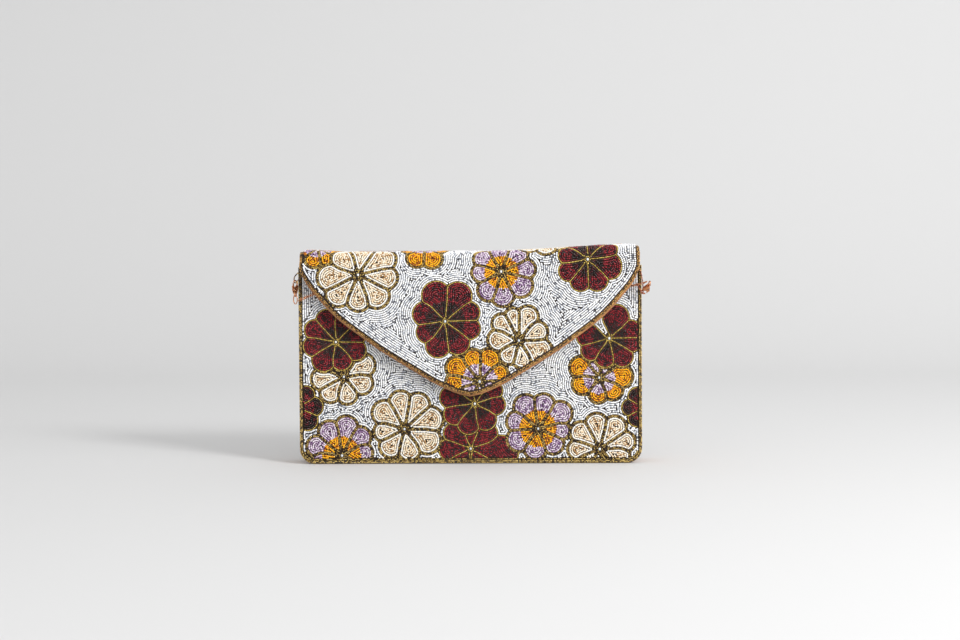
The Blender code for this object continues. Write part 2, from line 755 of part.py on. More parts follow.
def clasp_spring(side, frame):
    """A small coil between the slot's wall and the lever."""
    turns, count, radius = 2, 8, 0.33 * MM
    points = []
    for i in range(turns * count + 1):
        angle = 2 * pi * i / count
        x = 0.5 * MM * i / (turns * count)
        points.append((x, radius * cos(angle), radius * sin(angle) - 2.62 * MM))
    tube(f"{side.name}_clasp_spring", points, 0.09 * MM, steel(), frame, sides=6)


def jump_ring(side, frame):
    """An oval ring through the clasp's eye, turned about the lowest point of the eye's wire."""
    high = side.ring_half_height
    wide = min(high, 1.9 * MM)
    points = [(0, wide * x, high * z - high + EYE_RADIUS) for x, z in circle(1.0, 20)]
    ring = tube(f"{side.name}_jump_ring", points, RING_WIRE, rose_gold(), frame, cyclic=True)
    ring.location = (0, 0, -EYE_DROP - EYE_RADIUS)
    ring.rotation_euler = (-side.ring_turn, 0, 0)


def build_clasp(side):
    frame = empty(f"{side.name}_clasp_frame", side.matrix())
    clasp_body(side, frame)
    clasp_lever(side, frame)
    cylinder(f"{side.name}_clasp_lever_pin", PIN_RADIUS, -CLASP_THICKNESS / 2, CLASP_THICKNESS / 2, steel(),
             frame, "Y", LEVER_PIVOT, 12)
    clasp_spring(side, frame)
    jump_ring(side, frame)
    seat = side.world(side.seat())
    route = side.loop_before + [seat + side.across * 1.3 * MM, seat, seat - side.across * 1.3 * MM] + side.loop_after
    tube(f"{side.name}_loop", smooth_route(route, 1.0 * MM), LOOP_WIRE, gold_beads())


# ---------------------------------------------------------------- chain

def coil_centre():
    floor = GUSSET_THICKNESS + BASE_BOARD[1] + 2 * GAP + GUSSET_LINING_THICKNESS
    return Vector((COIL_CENTRE_X, CENTRE_Y, floor + GAP + COIL_RADIUS + COIL_THICKNESS))


def chain_left_route():
    """From the left jump ring under the flap, over the mouth and down to the coil's left side."""
    coil = coil_centre()
    down = coil.x - COIL_RADIUS - 2.4 * MM
    outside = [(-125.9, 121.6, -4.6), (-123.0, 123.0, -3.3), (-119.4, 124.6, -2.2), (-114, 126.8, -1.9),
               (-107, 131.0, -1.9), (-100, 137.6, -1.9), (-96, 144.0, -1.9), (-94.8, 149.2, -1.3),
               (-94.5, 151.1, 2.7), (-94.4, 148.9, 6.9)]
    route = [at_front(x, z, depth) for x, z, depth in outside]
    route += [Vector((down, CENTRE_Y + y * MM, z * MM)) for y, z in ((-4.0, 141), (-2.2, 122), (-0.8, 92), (0, 60))]
    return route + [Vector((down, CENTRE_Y, coil.z + 11.0 * MM))]


def chain_right_route():
    """From the coil along the bottom, up inside the right end, over the mouth and out to the right ring."""
    coil = coil_centre()
    low = coil.z - COIL_RADIUS - COIL_THICKNESS + CHAIN_RADIUS
    inside = [(-40, 0, 0), (0, 0.6, 0), (40, -0.4, 0), (76, 0, 0.4), (90, 0, 5), (97.5, -0.3, 16), (99.5, -0.8, 40),
              (99.5, -1.6, 80), (99.6, -3.0, 120), (99.8, -4.2, 141)]
    route = [Vector((coil.x + 11.0 * MM, CENTRE_Y, low))]
    route += [Vector((x * MM, CENTRE_Y + y * MM, low + z * MM)) for x, y, z in inside]
    outside = [(100.0, 148.9, 6.9), (100.2, 151.1, 2.7), (100.6, 149.2, -1.3), (102.6, 143.6, -1.9),
               (107, 137.0, -1.9), (112.4, 132.8, -1.9), (118.6, 131.4, -2.0), (122.6, 131.8, -3.8),
               (126.4, 133.0, -6.4), (129.9, 134.3, -8.8)]
    return route + [at_front(x, z, depth) for x, z, depth in outside]


def build_chain():
    tube("chain_left_end", smooth_route(chain_left_route(), CHAIN_STEP), CHAIN_RADIUS, rose_gold())
    tube("chain_right_end", smooth_route(chain_right_route(), CHAIN_STEP), CHAIN_RADIUS, rose_gold())
    bpy.ops.mesh.primitive_torus_add(major_radius=COIL_RADIUS, minor_radius=COIL_THICKNESS, major_segments=28,
                                     minor_segments=10, location=coil_centre(), rotation=(radians(90), 0, 0))
    coil = bpy.context.object
    coil.name = "chain_coil"
    coil.users_collection[0].objects.unlink(coil)
    link(coil, rose_gold())


def main():
    walls = build_walls()
    build_strips()
    build_body_piping()
    build_flap_piping()
    build_pocket()
    build_snap(walls)
    for side in clasp_sides():
        build_clasp(side)
    build_chain()


clear_scene()
BAG = new_collection("beaded_clutch")
CUTTERS = new_collection("cutters")
main()
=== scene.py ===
import json
from math import atan, atan2, ceil, cos, pi, radians, sin, sqrt

import bmesh
import bpy
import numpy as np
from mathutils import Matrix, Vector


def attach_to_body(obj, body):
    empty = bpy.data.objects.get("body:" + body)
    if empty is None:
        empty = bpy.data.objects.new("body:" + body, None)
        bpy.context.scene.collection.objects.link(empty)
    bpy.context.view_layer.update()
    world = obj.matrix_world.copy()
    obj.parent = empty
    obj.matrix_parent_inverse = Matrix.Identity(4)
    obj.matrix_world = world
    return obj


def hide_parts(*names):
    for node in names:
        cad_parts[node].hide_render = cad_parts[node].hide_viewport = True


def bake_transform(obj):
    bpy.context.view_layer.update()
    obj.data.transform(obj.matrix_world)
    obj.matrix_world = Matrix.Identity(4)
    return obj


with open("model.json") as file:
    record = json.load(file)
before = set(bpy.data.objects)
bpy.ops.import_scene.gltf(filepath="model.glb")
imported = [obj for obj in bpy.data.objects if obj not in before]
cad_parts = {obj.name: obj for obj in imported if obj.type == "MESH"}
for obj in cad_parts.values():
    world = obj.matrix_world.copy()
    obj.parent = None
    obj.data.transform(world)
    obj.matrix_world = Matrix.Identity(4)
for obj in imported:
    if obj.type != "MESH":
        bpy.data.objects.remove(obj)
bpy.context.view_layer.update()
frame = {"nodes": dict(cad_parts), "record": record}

# The looks of a beaded envelope clutch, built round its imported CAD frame.
# Everything is drawn in millimetres and written to meshes in metres. The front faces -Y.
MM = 0.001
RNG = np.random.default_rng(7)

# Body, repeated from the CAD
WIDTH = 254.0
HEIGHT = 159.0
BASE_HALF_DEPTH = 15.0
TAPER = 4.0
TILT = atan(TAPER / HEIGHT)
CENTRE_Y = 3.8522
BOTTOM_CORNER = 11.0
MOUTH_HEIGHT = 146.0
WALL = 5.5
PIPING_RADIUS = 1.3
EDGE_INSET = 2.9
FLAP_PROUD = 9.3
FOLD_RADIUS = 7.0
FOLD_HEIGHT = HEIGHT - FOLD_RADIUS
WALL_HALF_WIDTH = WIDTH / 2 - EDGE_INSET
FLAP_HALF_WIDTH = 125.0
FLAP_LAYER_HALF_WIDTH = FLAP_HALF_WIDTH - EDGE_INSET
FLAP_EDGE = ((125, 152), (125, 144), (119.5, 134.5), (113.5, 127), (98, 110), (76, 93), (61, 82.5),
             (38, 68.5), (25, 60.8), (10, 54), (0, 51.5))

# Layers under the beads, as depths of their outer faces and their thicknesses
BACKING_DEPTH = 1.75
LINING_DEPTH = 5.1
FRONT_LINING_DEPTH = 5.05
CLOTH_THICKNESS = 0.4
POCKET_DEPTH = 5.75
POCKET_THICKNESS = 0.35

# Beads
ROW = 1.58
ALONG = 1.2
FINE = 1.06
BEAD_DEPTH = 0.8
GRID = 0.4


def half_depth(z):
    return BASE_HALF_DEPTH - TAPER * z / HEIGHT


def front_y(z, depth=0.0):
    return CENTRE_Y - half_depth(z) + depth


def back_y(z, depth=0.0):
    return CENTRE_Y + half_depth(z) - depth


# ---------------------------------------------------------------- camera, floor and light

LENS = 70.0
SENSOR = 36.0
FRAME_WIDTH = 706.0
AIM = Vector((7.7, front_y(106.0, -5.0), 106.7))
AZIMUTH = radians(1.5)
ELEVATION = radians(3.5)
ROLL = radians(-0.4)


def build_camera():
    data = bpy.data.cameras.new("camera")
    data.lens = LENS
    data.sensor_width = SENSOR
    data.clip_start = 0.05
    data.clip_end = 50.0
    camera = bpy.data.objects.new("camera", data)
    bpy.context.scene.collection.objects.link(camera)
    distance = FRAME_WIDTH * LENS / SENSOR
    towards = Vector((sin(AZIMUTH) * cos(ELEVATION), -cos(AZIMUTH) * cos(ELEVATION), sin(ELEVATION)))
    place = (AIM + towards * distance) * MM
    turn = towards.to_track_quat("Z", "Y").to_matrix().to_4x4() @ Matrix.Rotation(ROLL, 4, "Z")
    camera.matrix_world = Matrix.Translation(place) @ turn
    bpy.context.scene.camera = camera
    bpy.context.scene.view_settings.view_transform = "Standard"


def plain_shader(name, colour, roughness, metallic=0.0, **sockets):
    """A material whose constants sit on the shader's own sockets."""
    made = bpy.data.materials.new(name)
    made.use_nodes = True
    shader = made.node_tree.nodes["Principled BSDF"]
    shader.inputs["Base Color"].default_value = (*colour, 1.0)
    shader.inputs["Roughness"].default_value = roughness
    shader.inputs["Metallic"].default_value = metallic
    for socket, value in sockets.items():
        shader.inputs[socket.replace("_", " ")].default_value = value
    return made


def build_stage():
    """A pale sweep: a floor that curves up into a backdrop."""
    bm = bmesh.new()
    profile = [(-1.6, 0.0), (0.7, 0.0)]
    bend = 0.6
    profile += [(0.7 + bend * sin(a), bend * (1 - cos(a))) for a in np.linspace(0, pi / 2, 17)[1:]]
    profile += [(0.7 + bend, 2.6)]
    rows = [[bm.verts.new((x, y, z)) for x in (-3.5, 3.5)] for y, z in profile]
    for low, high in zip(rows, rows[1:]):
        bm.faces.new((low[0], low[1], high[1], high[0]))
    data = bpy.data.meshes.new("sweep")
    bm.to_mesh(data)
    bm.free()
    data.shade_smooth()
    sweep = bpy.data.objects.new("sweep", data)
    bpy.context.scene.collection.objects.link(sweep)
    data.materials.append(plain_shader("paper", (0.66, 0.66, 0.66), 0.9))


def area_light(name, place, target, size, power, colour=(1, 1, 1)):
    data = bpy.data.lights.new(name, "AREA")
    data.shape = "RECTANGLE"
    data.size, data.size_y = size
    data.energy = power
    data.color = colour
    lamp = bpy.data.objects.new(name, data)
    lamp.location = place
    lamp.rotation_euler = (Vector(target) - Vector(place)).to_track_quat("-Z", "Y").to_euler()
    bpy.context.scene.collection.objects.link(lamp)


def build_light():
    world = bpy.data.worlds.new("studio")
    bpy.context.scene.world = world
    world.use_nodes = True
    world.node_tree.nodes["Background"].inputs["Color"].default_value = (1.0, 1.0, 1.0, 1.0)
    world.node_tree.nodes["Background"].inputs["Strength"].default_value = 0.86
    area_light("key", (1.15, -1.1, 1.05), (0.0, 0.0, 0.05), (0.45, 0.45), 20.0)
    area_light("side", (2.4, -1.2, 0.9), (0.5, 0.8, 0.6), (1.6, 1.6), 17.0)


# ---------------------------------------------------------------- meshes from arrays

def mesh_from(name, points, polygons, smooth=True, looks=(), look_of=None):
    """A mesh object from points in millimetres and a list of equal-sided polygon arrays."""
    data = bpy.data.meshes.new(name)
    data.vertices.add(len(points))
    data.vertices.foreach_set("co", (np.asarray(points, np.float32) * MM).ravel())
    loops = np.concatenate([p.ravel() for p in polygons]).astype(np.int32)
    sizes = np.concatenate([np.full(len(p), p.shape[1]) for p in polygons]).astype(np.int32)
    starts = np.concatenate([[0], np.cumsum(sizes)[:-1]]).astype(np.int32)
    data.loops.add(len(loops))
    data.loops.foreach_set("vertex_index", loops)
    data.polygons.add(len(sizes))
    data.polygons.foreach_set("loop_start", starts)
    if look_of is not None:
        data.polygons.foreach_set("material_index", look_of.astype(np.int32))
    data.update(calc_edges=True)
    data.validate()
    if smooth:
        data.shade_smooth()
    for look in looks:
        data.materials.append(look)
    made = bpy.data.objects.new(name, data)
    bpy.context.scene.collection.objects.link(made)
    return made


def unit(vectors):
    return vectors / np.maximum(np.linalg.norm(vectors, axis=-1, keepdims=True), 1e-9)


# One bead: three rings of six about its thread, wide in the middle, with flat ends.
BEAD_SIDES = 6
BEAD_RINGS = ((-1.0, 0.64), (0.0, 1.0), (1.0, 0.64))


def bead_template():
    turn = (np.arange(BEAD_SIDES) + 0.5) * 2 * pi / BEAD_SIDES
    points = [(along, wide * cos(a), wide * sin(a)) for along, wide in BEAD_RINGS for a in turn]
    quads = []
    for ring in range(len(BEAD_RINGS) - 1):
        for i in range(BEAD_SIDES):
            j = (i + 1) % BEAD_SIDES
            low, high = ring * BEAD_SIDES, (ring + 1) * BEAD_SIDES
            quads.append((low + i, high + i, high + j, low + j))
    last = (len(BEAD_RINGS) - 1) * BEAD_SIDES
    ends = [tuple(range(BEAD_SIDES)), tuple(reversed(range(last, last + BEAD_SIDES)))]
    return np.array(points), np.array(quads), np.array(ends)


def bead_object(name, centres, along, normals, sizes, tints, looks):
    """Beads threaded along a direction; sizes are their half length, half width and half height."""
    template, quads, ends = bead_template()
    along = unit(along)
    across = unit(np.cross(normals, along))
    normals = np.cross(along, across)
    frames = np.stack([along, across, normals], axis=1) * sizes[:, :, None]
    points = centres[:, None, :] + np.einsum("pk,nkx->npx", template, frames)
    step = np.arange(len(centres))[:, None, None] * len(template)
    faces = [(quads[None] + step).reshape(-1, 4), (ends[None] + step).reshape(-1, BEAD_SIDES)]
    look_of = np.concatenate([np.repeat(tints, len(quads)), np.repeat(tints, len(ends))])
    return mesh_from(name, points.reshape(-1, 3), faces, True, looks, look_of)


# ---------------------------------------------------------------- bead colours

def srgb(red, green, blue):
    """A colour read as 0-255 screen values, in linear light."""
    shares = [c / 255 for c in (red, green, blue)]
    return tuple(c / 12.92 if c <= 0.04045 else ((c + 0.055) / 1.055) ** 2.4 for c in shares)


# Each colour of bead: the record's slot, its tints with their shares, roughness, metal and half width. Some
# tints are painted highlights and painted shade, as marked.
BEADS = {
    # silver: the spread of tints, from pure white to dark grey, paints glints and shade on single beads
    "silver": ("silver_beads", ((255, 255, 255, 0.56), (236, 238, 242, 0.26), (196, 200, 208, 0.12),
                                (118, 120, 128, 0.06)), 0.2, 0.0, 0.77),
    "white": ("cream_beads", ((255, 253, 248, 0.76), (240, 230, 212, 0.24)), 0.2, 0.0, 0.76),
    "cream": ("cream_beads", ((255, 242, 220, 0.50), (242, 218, 182, 0.32), (186, 144, 94, 0.18)), 0.2, 0.0,
              0.76),
    "red": ("red_beads", ((152, 34, 44, 0.32), (112, 20, 32, 0.40), (56, 12, 20, 0.28)), 0.16, 0.0, 0.72),
    # black: the lighter brown and red tints are painted highlights
    "black": ("black_beads", ((30, 14, 14, 0.5), (66, 40, 34, 0.22), (86, 20, 28, 0.28)), 0.14, 0.0, 0.72),
    "yellow": ("yellow_beads", ((255, 186, 16, 0.52), (242, 158, 8, 0.30), (176, 98, 8, 0.18)), 0.18, 0.0,
               0.74),
    "lilac": ("lilac_beads", ((234, 220, 232, 0.42), (200, 176, 202, 0.36), (136, 102, 144, 0.22)), 0.18,
              0.0, 0.76),
    "pearl": ("cream_beads", ((244, 246, 246, 0.6), (218, 222, 226, 0.4)), 0.12, 0.0, 1.2),
    # gold: the light tint is a painted highlight and the dark tint painted shade between beads
    "gold": ("gold_beads", ((206, 176, 100, 0.36), (144, 114, 56, 0.34), (60, 44, 22, 0.30)), 0.2, 0.2,
             0.52),
    "edge": ("gold_beads", ((212, 164, 88, 0.36), (160, 116, 54, 0.38), (74, 50, 24, 0.26)), 0.2, 0.2,
             0.46),
    "line": ("gold_beads", ((226, 196, 96, 0.6), (178, 146, 60, 0.4)), 0.18, 0.2, 0.48),
    # loop: the light tint is a painted highlight
    "loop": ("gold_beads", ((214, 178, 110, 0.3), (120, 84, 40, 0.4), (54, 34, 18, 0.3)), 0.18, 0.3, 0.56),
    "russet": ("gold_beads", ((196, 110, 76, 0.5), (132, 56, 36, 0.5)), 0.18, 0.3, 0.56),
}
BEAD_LOOKS = {}


def bead_looks(colour):
    """The materials of one bead colour, one for each of its tints."""
    if colour not in BEAD_LOOKS:
        _, tints, roughness, metal, _ = BEADS[colour]
        BEAD_LOOKS[colour] = [
            plain_shader(f"{colour}_bead_{i}", srgb(*tint[:3]), roughness, metal, Coat_Weight=0.4,
                         Coat_Roughness=0.08)
            for i, tint in enumerate(tints)]
    return BEAD_LOOKS[colour]


def bead_tints(colour, count):
    """A random tint for each bead, by the colour's shares."""
    shares = np.array([tint[3] for tint in BEADS[colour][1]])
    return RNG.choice(len(shares), size=count, p=shares / shares.sum())


# ---------------------------------------------------------------- surfaces: flat panel coordinates to the bag

def front_surface(v):
    """Point and normal, in YZ, of the front wall's outer surface at a height."""
    normal = np.stack([np.full_like(v, -cos(TILT)), np.full_like(v, sin(TILT))], axis=-1)
    return np.stack([front_y(v), v], axis=-1), normal


def fold_centre(side):
    """Centre, in YZ, of the fold's rounded corner: side +1 is at the back, -1 at the flap."""
    reach = half_depth(FOLD_HEIGHT) + (FLAP_PROUD if side < 0 else 0.0) - FOLD_RADIUS / cos(TILT)
    return CENTRE_Y + side * reach


# The flap, the spine and the back as one strip: v is the height on the flap, then runs on round the fold,
# at the depth of the beads' middles, and down the back.
BEND = FOLD_RADIUS - BEAD_DEPTH
MEET = FOLD_HEIGHT + FOLD_RADIUS * sin(TILT)
QUARTER = BEND * (pi / 2 - TILT)
FLAP_TOP = MEET
SPINE_START = FLAP_TOP + QUARTER
SPINE_END = SPINE_START + fold_centre(1) - fold_centre(-1)
BACK_TOP = SPINE_END + QUARTER
BACK_BOTTOM = BACK_TOP + MEET - EDGE_INSET


def wrap_surface(v):
    """Point and normal, in YZ, of the outer surface along the strip, from flap tip to back foot."""
    front_angle = pi - TILT - (v - FLAP_TOP) / BEND
    back_angle = pi / 2 - (v - SPINE_END) / BEND
    front, back = fold_centre(-1), fold_centre(1)
    down = MEET - (v - BACK_TOP)
    zones = [v < FLAP_TOP, v < SPINE_START, v < SPINE_END, v < BACK_TOP]
    y = np.select(zones, [front_y(v, -FLAP_PROUD), front + FOLD_RADIUS * np.cos(front_angle),
                          front + v - SPINE_START, back + FOLD_RADIUS * np.cos(back_angle)], back_y(down))
    z = np.select(zones, [v, FOLD_HEIGHT + FOLD_RADIUS * np.sin(front_angle), np.full_like(v, HEIGHT),
                          FOLD_HEIGHT + FOLD_RADIUS * np.sin(back_angle)], down)
    normal_y = np.select(zones, [np.full_like(v, -cos(TILT)), np.cos(front_angle), np.zeros_like(v),
                                 np.cos(back_angle)], cos(TILT))
    normal_z = np.select(zones, [np.full_like(v, sin(TILT)), np.sin(front_angle), np.ones_like(v),
                                 np.sin(back_angle)], sin(TILT))
    return np.stack([y, z], axis=-1), np.stack([normal_y, normal_z], axis=-1)


def smoothstep(t):
    """Eases from 0 to 1 as t goes from 0 to 1."""
    t = np.clip(t, 0, 1)
    return t * t * (3 - 2 * t)


def lift(u, z):
    """How far the soft fold stands up towards its right end and sags left of it."""
    right_end = 3.0 * smoothstep((u - 45.0) / 70.0)
    sag = 1.4 * smoothstep((u + 122.0) / 30.0) * smoothstep((70.0 - u) / 60.0)
    return (right_end - sag) * smoothstep((z - 136.0) / 22.0)


def on_surface(surface, u, v, depth):
    """Points and normals, in space, at a depth below a surface."""
    u, v = np.asarray(u, float), np.asarray(v, float)
    base, normal = surface(v)
    base = base - normal * np.asarray(depth)[..., None]
    if surface is wrap_surface:
        base[..., 1] += lift(u, base[..., 1])
    points = np.stack([u, base[..., 0], base[..., 1]], axis=-1)
    return points, np.stack([np.zeros_like(u), normal[..., 0], normal[..., 1]], axis=-1)


# ---------------------------------------------------------------- outlines

def smooth_curve(points, steps=12):
    """A smooth curve (Catmull-Rom) through points of any dimension."""
    points = np.asarray(points, float)
    ends = np.vstack([2 * points[0] - points[1], points, 2 * points[-1] - points[-2]])
    fine = []
    for a, b, c, d in zip(ends, ends[1:], ends[2:], ends[3:]):
        t = np.arange(steps)[:, None] / steps
        fine.append(0.5 * (2 * b + (c - a) * t + (2 * a - 5 * b + 4 * c - d) * t ** 2
                           + (3 * b - a - 3 * c + d) * t ** 3))
    return np.vstack(fine + [points[-1:]])


def resample(line, spacing, closed=False):
    """Evenly spaced points along a line, and their directions."""
    line = np.asarray(line, float)
    if closed:
        line = np.vstack([line, line[:1]])
    lengths = np.concatenate([[0], np.cumsum(np.linalg.norm(np.diff(line, axis=0), axis=1))])
    count = max(2, int(round(lengths[-1] / spacing)))
    at = (np.arange(count) + 0.5) * lengths[-1] / count

    def sample(s):
        s = s % lengths[-1] if closed else np.clip(s, 0, lengths[-1])
        return np.stack([np.interp(s, lengths, line[:, i]) for i in range(line.shape[1])], axis=1)

    reach = 0.5 * spacing
    return sample(at), unit(sample(at + reach) - sample(at - reach))


def offset(line, distance):
    """A plane line moved to its left by a distance."""
    ahead = unit(np.gradient(line, axis=0))
    return line + np.stack([-ahead[:, 1], ahead[:, 0]], axis=1) * distance


def flap_right_edge(inset):
    """The right half of the flap's edge, from the fold to the tip, moved inwards."""
    edge = smooth_curve(FLAP_EDGE, 8)
    mirrored = np.vstack([edge, edge[-2::-1] * (-1, 1)])
    return offset(mirrored, -inset)[:len(edge)]


def rounded_foot(half_width, bottom, radius, steps=8):
    """Points up a rounded bottom corner, as half width and height."""
    a = np.linspace(0, pi / 2, steps + 1)
    return np.stack([half_width - radius * (1 - np.sin(a)), bottom + radius * (1 - np.cos(a))], axis=1)


def front_outline():
    """The front panel's edge, anticlockwise."""
    foot = rounded_foot(WALL_HALF_WIDTH, EDGE_INSET, BOTTOM_CORNER - EDGE_INSET)
    right = np.vstack([foot, [(WALL_HALF_WIDTH, MOUTH_HEIGHT)]])
    return np.vstack([right, right[::-1] * (-1, 1)])


def wrap_outline():
    """The strip's edge: the flap's edge, the fold's ends and the back's edge, anticlockwise."""
    edge = flap_right_edge(EDGE_INSET)[::-1]
    edge[0, 0] = 0.0
    foot = rounded_foot(WALL_HALF_WIDTH, 0.0, BOTTOM_CORNER - EDGE_INSET)[::-1]
    foot = np.stack([foot[:, 0], BACK_BOTTOM - foot[:, 1]], axis=1)
    sides = [(FLAP_LAYER_HALF_WIDTH, SPINE_END), (WALL_HALF_WIDTH, BACK_TOP)]
    right = np.vstack([edge, sides, foot])
    return np.vstack([right, right[:0:-1] * (-1, 1)])


def outline_distance(outline, u, v):
    """Signed distance to a closed outline, positive inside."""
    nearest = np.full(u.shape, 1e9)
    inside = np.zeros(u.shape, bool)
    for (ax, ay), (bx, by) in zip(outline, np.roll(outline, -1, axis=0)):
        dx, dy = bx - ax, by - ay
        t = np.clip(((u - ax) * dx + (v - ay) * dy) / max(dx * dx + dy * dy, 1e-12), 0, 1)
        nearest = np.minimum(nearest, (u - ax - t * dx) ** 2 + (v - ay - t * dy) ** 2)
        if ay != by:
            crossing = ((ay > v) != (by > v)) & (u < ax + (v - ay) * dx / dy)
            inside ^= crossing
    return np.sqrt(nearest) * np.where(inside, 1.0, -1.0)


# ---------------------------------------------------------------- flowers

# Kinds of flower: whether the outline is a double row of gold, and the colours of the row next to the
# outline, of the outer petal and of the inner petal, with the inner part's share of the petal's length.
KINDS = {
    "cream": (True, "white", "cream", "cream", 0.0),
    "lilac": (True, "lilac", "lilac", "yellow", 0.46),
    "yellow": (True, "yellow", "yellow", "lilac", 0.46),
    "red": (False, "red", "red", "black", 0.46),
    "dusk": (False, "black", "black", "red", 0.62),
    "wine": (False, "red", "red", "red", 0.0),
}
CORE = 2.3


class Flower:
    """Teardrop petals round a centre; a petal is its direction in degrees and its length."""

    def __init__(self, kind, u, v, petals):
        self.kind = kind
        self.double = KINDS[kind][0]
        self.u, self.v = u, v
        self.petals = sorted((angle % 360, length) for angle, length in petals)
        self.reach = max(length for _, length in petals)
        self.outline = 0.52 if self.double else 0.0
        self.margin = 1.04 if self.double else 0.5

    def shapes(self, u, v):
        """Signed distance to each petal, negative inside."""
        x, y = u - self.u, v - self.v
        angles = [angle for angle, _ in self.petals]
        found = []
        for i, (angle, length) in enumerate(self.petals):
            before = (angle - angles[i - 1]) % 360
            after = (angles[(i + 1) % len(angles)] - angle) % 360
            spread = sin(radians(min((min(before, 58) + min(after, 58)) / 4, 30)))
            far = (length - self.margin) * 1.2 * spread / (1 + spread)
            near, start = 0.6, CORE + 0.5
            span = length - self.margin - far - start
            direction = radians(angle)
            along = x * cos(direction) + y * sin(direction) - start
            across = np.abs(-x * sin(direction) + y * cos(direction))
            lean = (near - far) / span
            level = sqrt(1 - lean * lean)
            where = -lean * across + level * along
            side = level * across + lean * along - near
            low = np.hypot(across, along) - near
            high = np.hypot(across, along - span) - far
            found.append(np.where(where < 0, low, np.where(where > level * span, high, side)))
        return np.array(found)

    def whole(self, u, v):
        """Signed distance to the whole flower."""
        core = np.hypot(u - self.u, v - self.v) - CORE - 1.0
        return np.minimum(self.shapes(u, v).min(axis=0), core)


def ring_of(count, length, turn):
    """Even petals with small differences."""
    return [(turn + 360 * i / count + 4 * sin(5 * i + turn), length * (1 + 0.06 * sin(3 * i + turn)))
            for i in range(count)]


# Flowers lie in order: a later one lies over an earlier one.
FRONT_FLOWERS = (
    Flower("cream", -93.6, 64.7,
           ((31, 26.7), (340, 23.3), (280, 21.6), (228, 24.1), (185, 25.4), (78, 20), (130, 20))),
    Flower("red", -99.3, 90.6, ((150, 26), (190, 25), (235, 25.3), (287, 22), (338, 24), (20, 24), (68, 24),
                                (112, 26))),
    Flower("dusk", -129.2, 42.3, ((52, 18.7), (2, 20.4), (311, 20.9))),
    Flower("lilac", -95.5, 6.2, ((159, 28.6), (117, 29.2), (81, 31), (45, 28.3), (7, 24), (190, 23.2))),
    Flower("wine", 0.0, 11.1, ((353, 36), (44, 25), (88, 22), (136, 25), (182, 24), (233, 24), (305, 26))),
    Flower("cream", -48.9, 25.9,
           ((141, 29.4), (98, 29.6), (61, 30.4), (20, 31), (333, 30), (282, 25), (231, 26), (187, 24))),
    Flower("red", 3.3, 44.4, ((357, 23), (304, 22.5), (252, 24), (207, 25.3), (165, 27), (120, 26),
                              (75, 26), (35, 24))),
    Flower("lilac", 50.0, 25.7,
           ((119, 28.8), (77, 27.4), (35, 29.8), (355, 24.5), (315, 24.5), (261, 24), (209, 26.2),
            (161, 25.3))),
    Flower("cream", 95.4, 10.5,
           ((138, 27.5), (97, 27.8), (55, 29), (16, 28), (342, 24), (181, 24.8), (222, 22), (262, 20))),
    Flower("dusk", 129.6, 40.8, ((127, 17.9), (178, 18.3), (228, 17))),
    Flower("yellow", 95.3, 63.3,
           ((151, 25), (201, 22), (266, 20), (317, 22), (4, 25.8), (58, 20), (105, 20))),
    Flower("red", 102.8, 92.3, ((72, 26.2), (20, 24.8), (347, 23.5), (306, 24.6), (257, 22.3), (213, 24.1),
                                (172, 25))),
    Flower("lilac", -52.0, 108.0, ring_of(8, 22, 10)),
    Flower("cream", 24.0, 110.0, ring_of(8, 24, 30)),
    Flower("red", 66.0, 118.0, ring_of(8, 21, 5)),
    Flower("yellow", -8.0, 134.0, ring_of(8, 20, 20)),
)
WRAP_FLOWERS = (
    Flower("yellow", -112.5, 165.5,
           ((262, 20.8), (302, 20.8), (340, 24), (20, 21), (62, 21), (105, 21), (215, 18))),
    Flower("cream", -81.6, 140.7,
           ((186, 31.4), (224, 30.8), (270, 28), (311, 31), (354, 30.2), (35, 33), (82, 30), (129, 27))),
    Flower("yellow", -33.0, 170.5,
           ((252, 26), (288, 27), (330, 20), (15, 21), (60, 21), (108, 21), (160, 21), (210, 20))),
    Flower("yellow", 7.2, 61.6,
           ((181, 26), (148, 28.9), (106, 25.6), (67, 27), (23, 23), (338, 22), (222, 22), (272, 20))),
    Flower("red", -17.8, 106.1,
           ((109, 31), (63, 31.5), (20, 27), (343, 27), (300, 27.4), (253, 28), (211, 24), (160, 25.4))),
    Flower("lilac", 23.5, 142.5,
           ((182, 22.8), (141, 25), (95, 24), (47, 26), (5, 26.3), (324, 27.4), (273, 27), (236, 25.7))),
    Flower("cream", 36.2, 91.7,
           ((135, 26), (103, 25.4), (70, 27.6), (25, 23.6), (333, 27), (278, 21.5), (235, 21), (178, 24))),
    Flower("cream", 57.7, 179.0, ring_of(8, 26.8, 0)),
    Flower("red", 86.8, 149.6, ((164, 22.4), (208, 23.5), (250, 23.5), (296, 24), (343, 26), (23, 23.5),
                                (66, 24), (117, 24))),
    Flower("red", -66.0, 188.0, ring_of(8, 22, 12)),
    Flower("lilac", 12.0, 192.0, ring_of(8, 23, 8)),
    Flower("yellow", 104.0, 196.0, ring_of(8, 22, 20)),
    Flower("lilac", -108.0, 208.0, ring_of(8, 23, 35)),
    Flower("cream", -28.0, 214.0, ring_of(8, 25, 16)),
    Flower("red", 60.0, 222.0, ring_of(8, 26, 2)),
    Flower("yellow", -76.0, 238.0, ring_of(8, 24, 28)),
    Flower("cream", 106.0, 246.0, ring_of(8, 26, 14)),
    Flower("lilac", 14.0, 250.0, ring_of(8, 25, 22)),
    Flower("red", -112.0, 268.0, ring_of(8, 24, 8)),
    Flower("red", -34.0, 272.0, ring_of(8, 26, 31)),
    Flower("yellow", 60.0, 280.0, ring_of(8, 24, 9)),
    Flower("cream", -82.0, 300.0, ring_of(8, 26, 18)),
    Flower("lilac", 104.0, 306.0, ring_of(8, 25, 3)),
    Flower("cream", 14.0, 312.0, ring_of(8, 26, 27)),
    Flower("lilac", -36.0, 330.0, ring_of(8, 23, 12)),
    Flower("red", 58.0, 332.0, ring_of(8, 24, 24)),
    Flower("yellow", -116.0, 328.0, ring_of(8, 22, 5)),
)


# ---------------------------------------------------------------- rows of beads

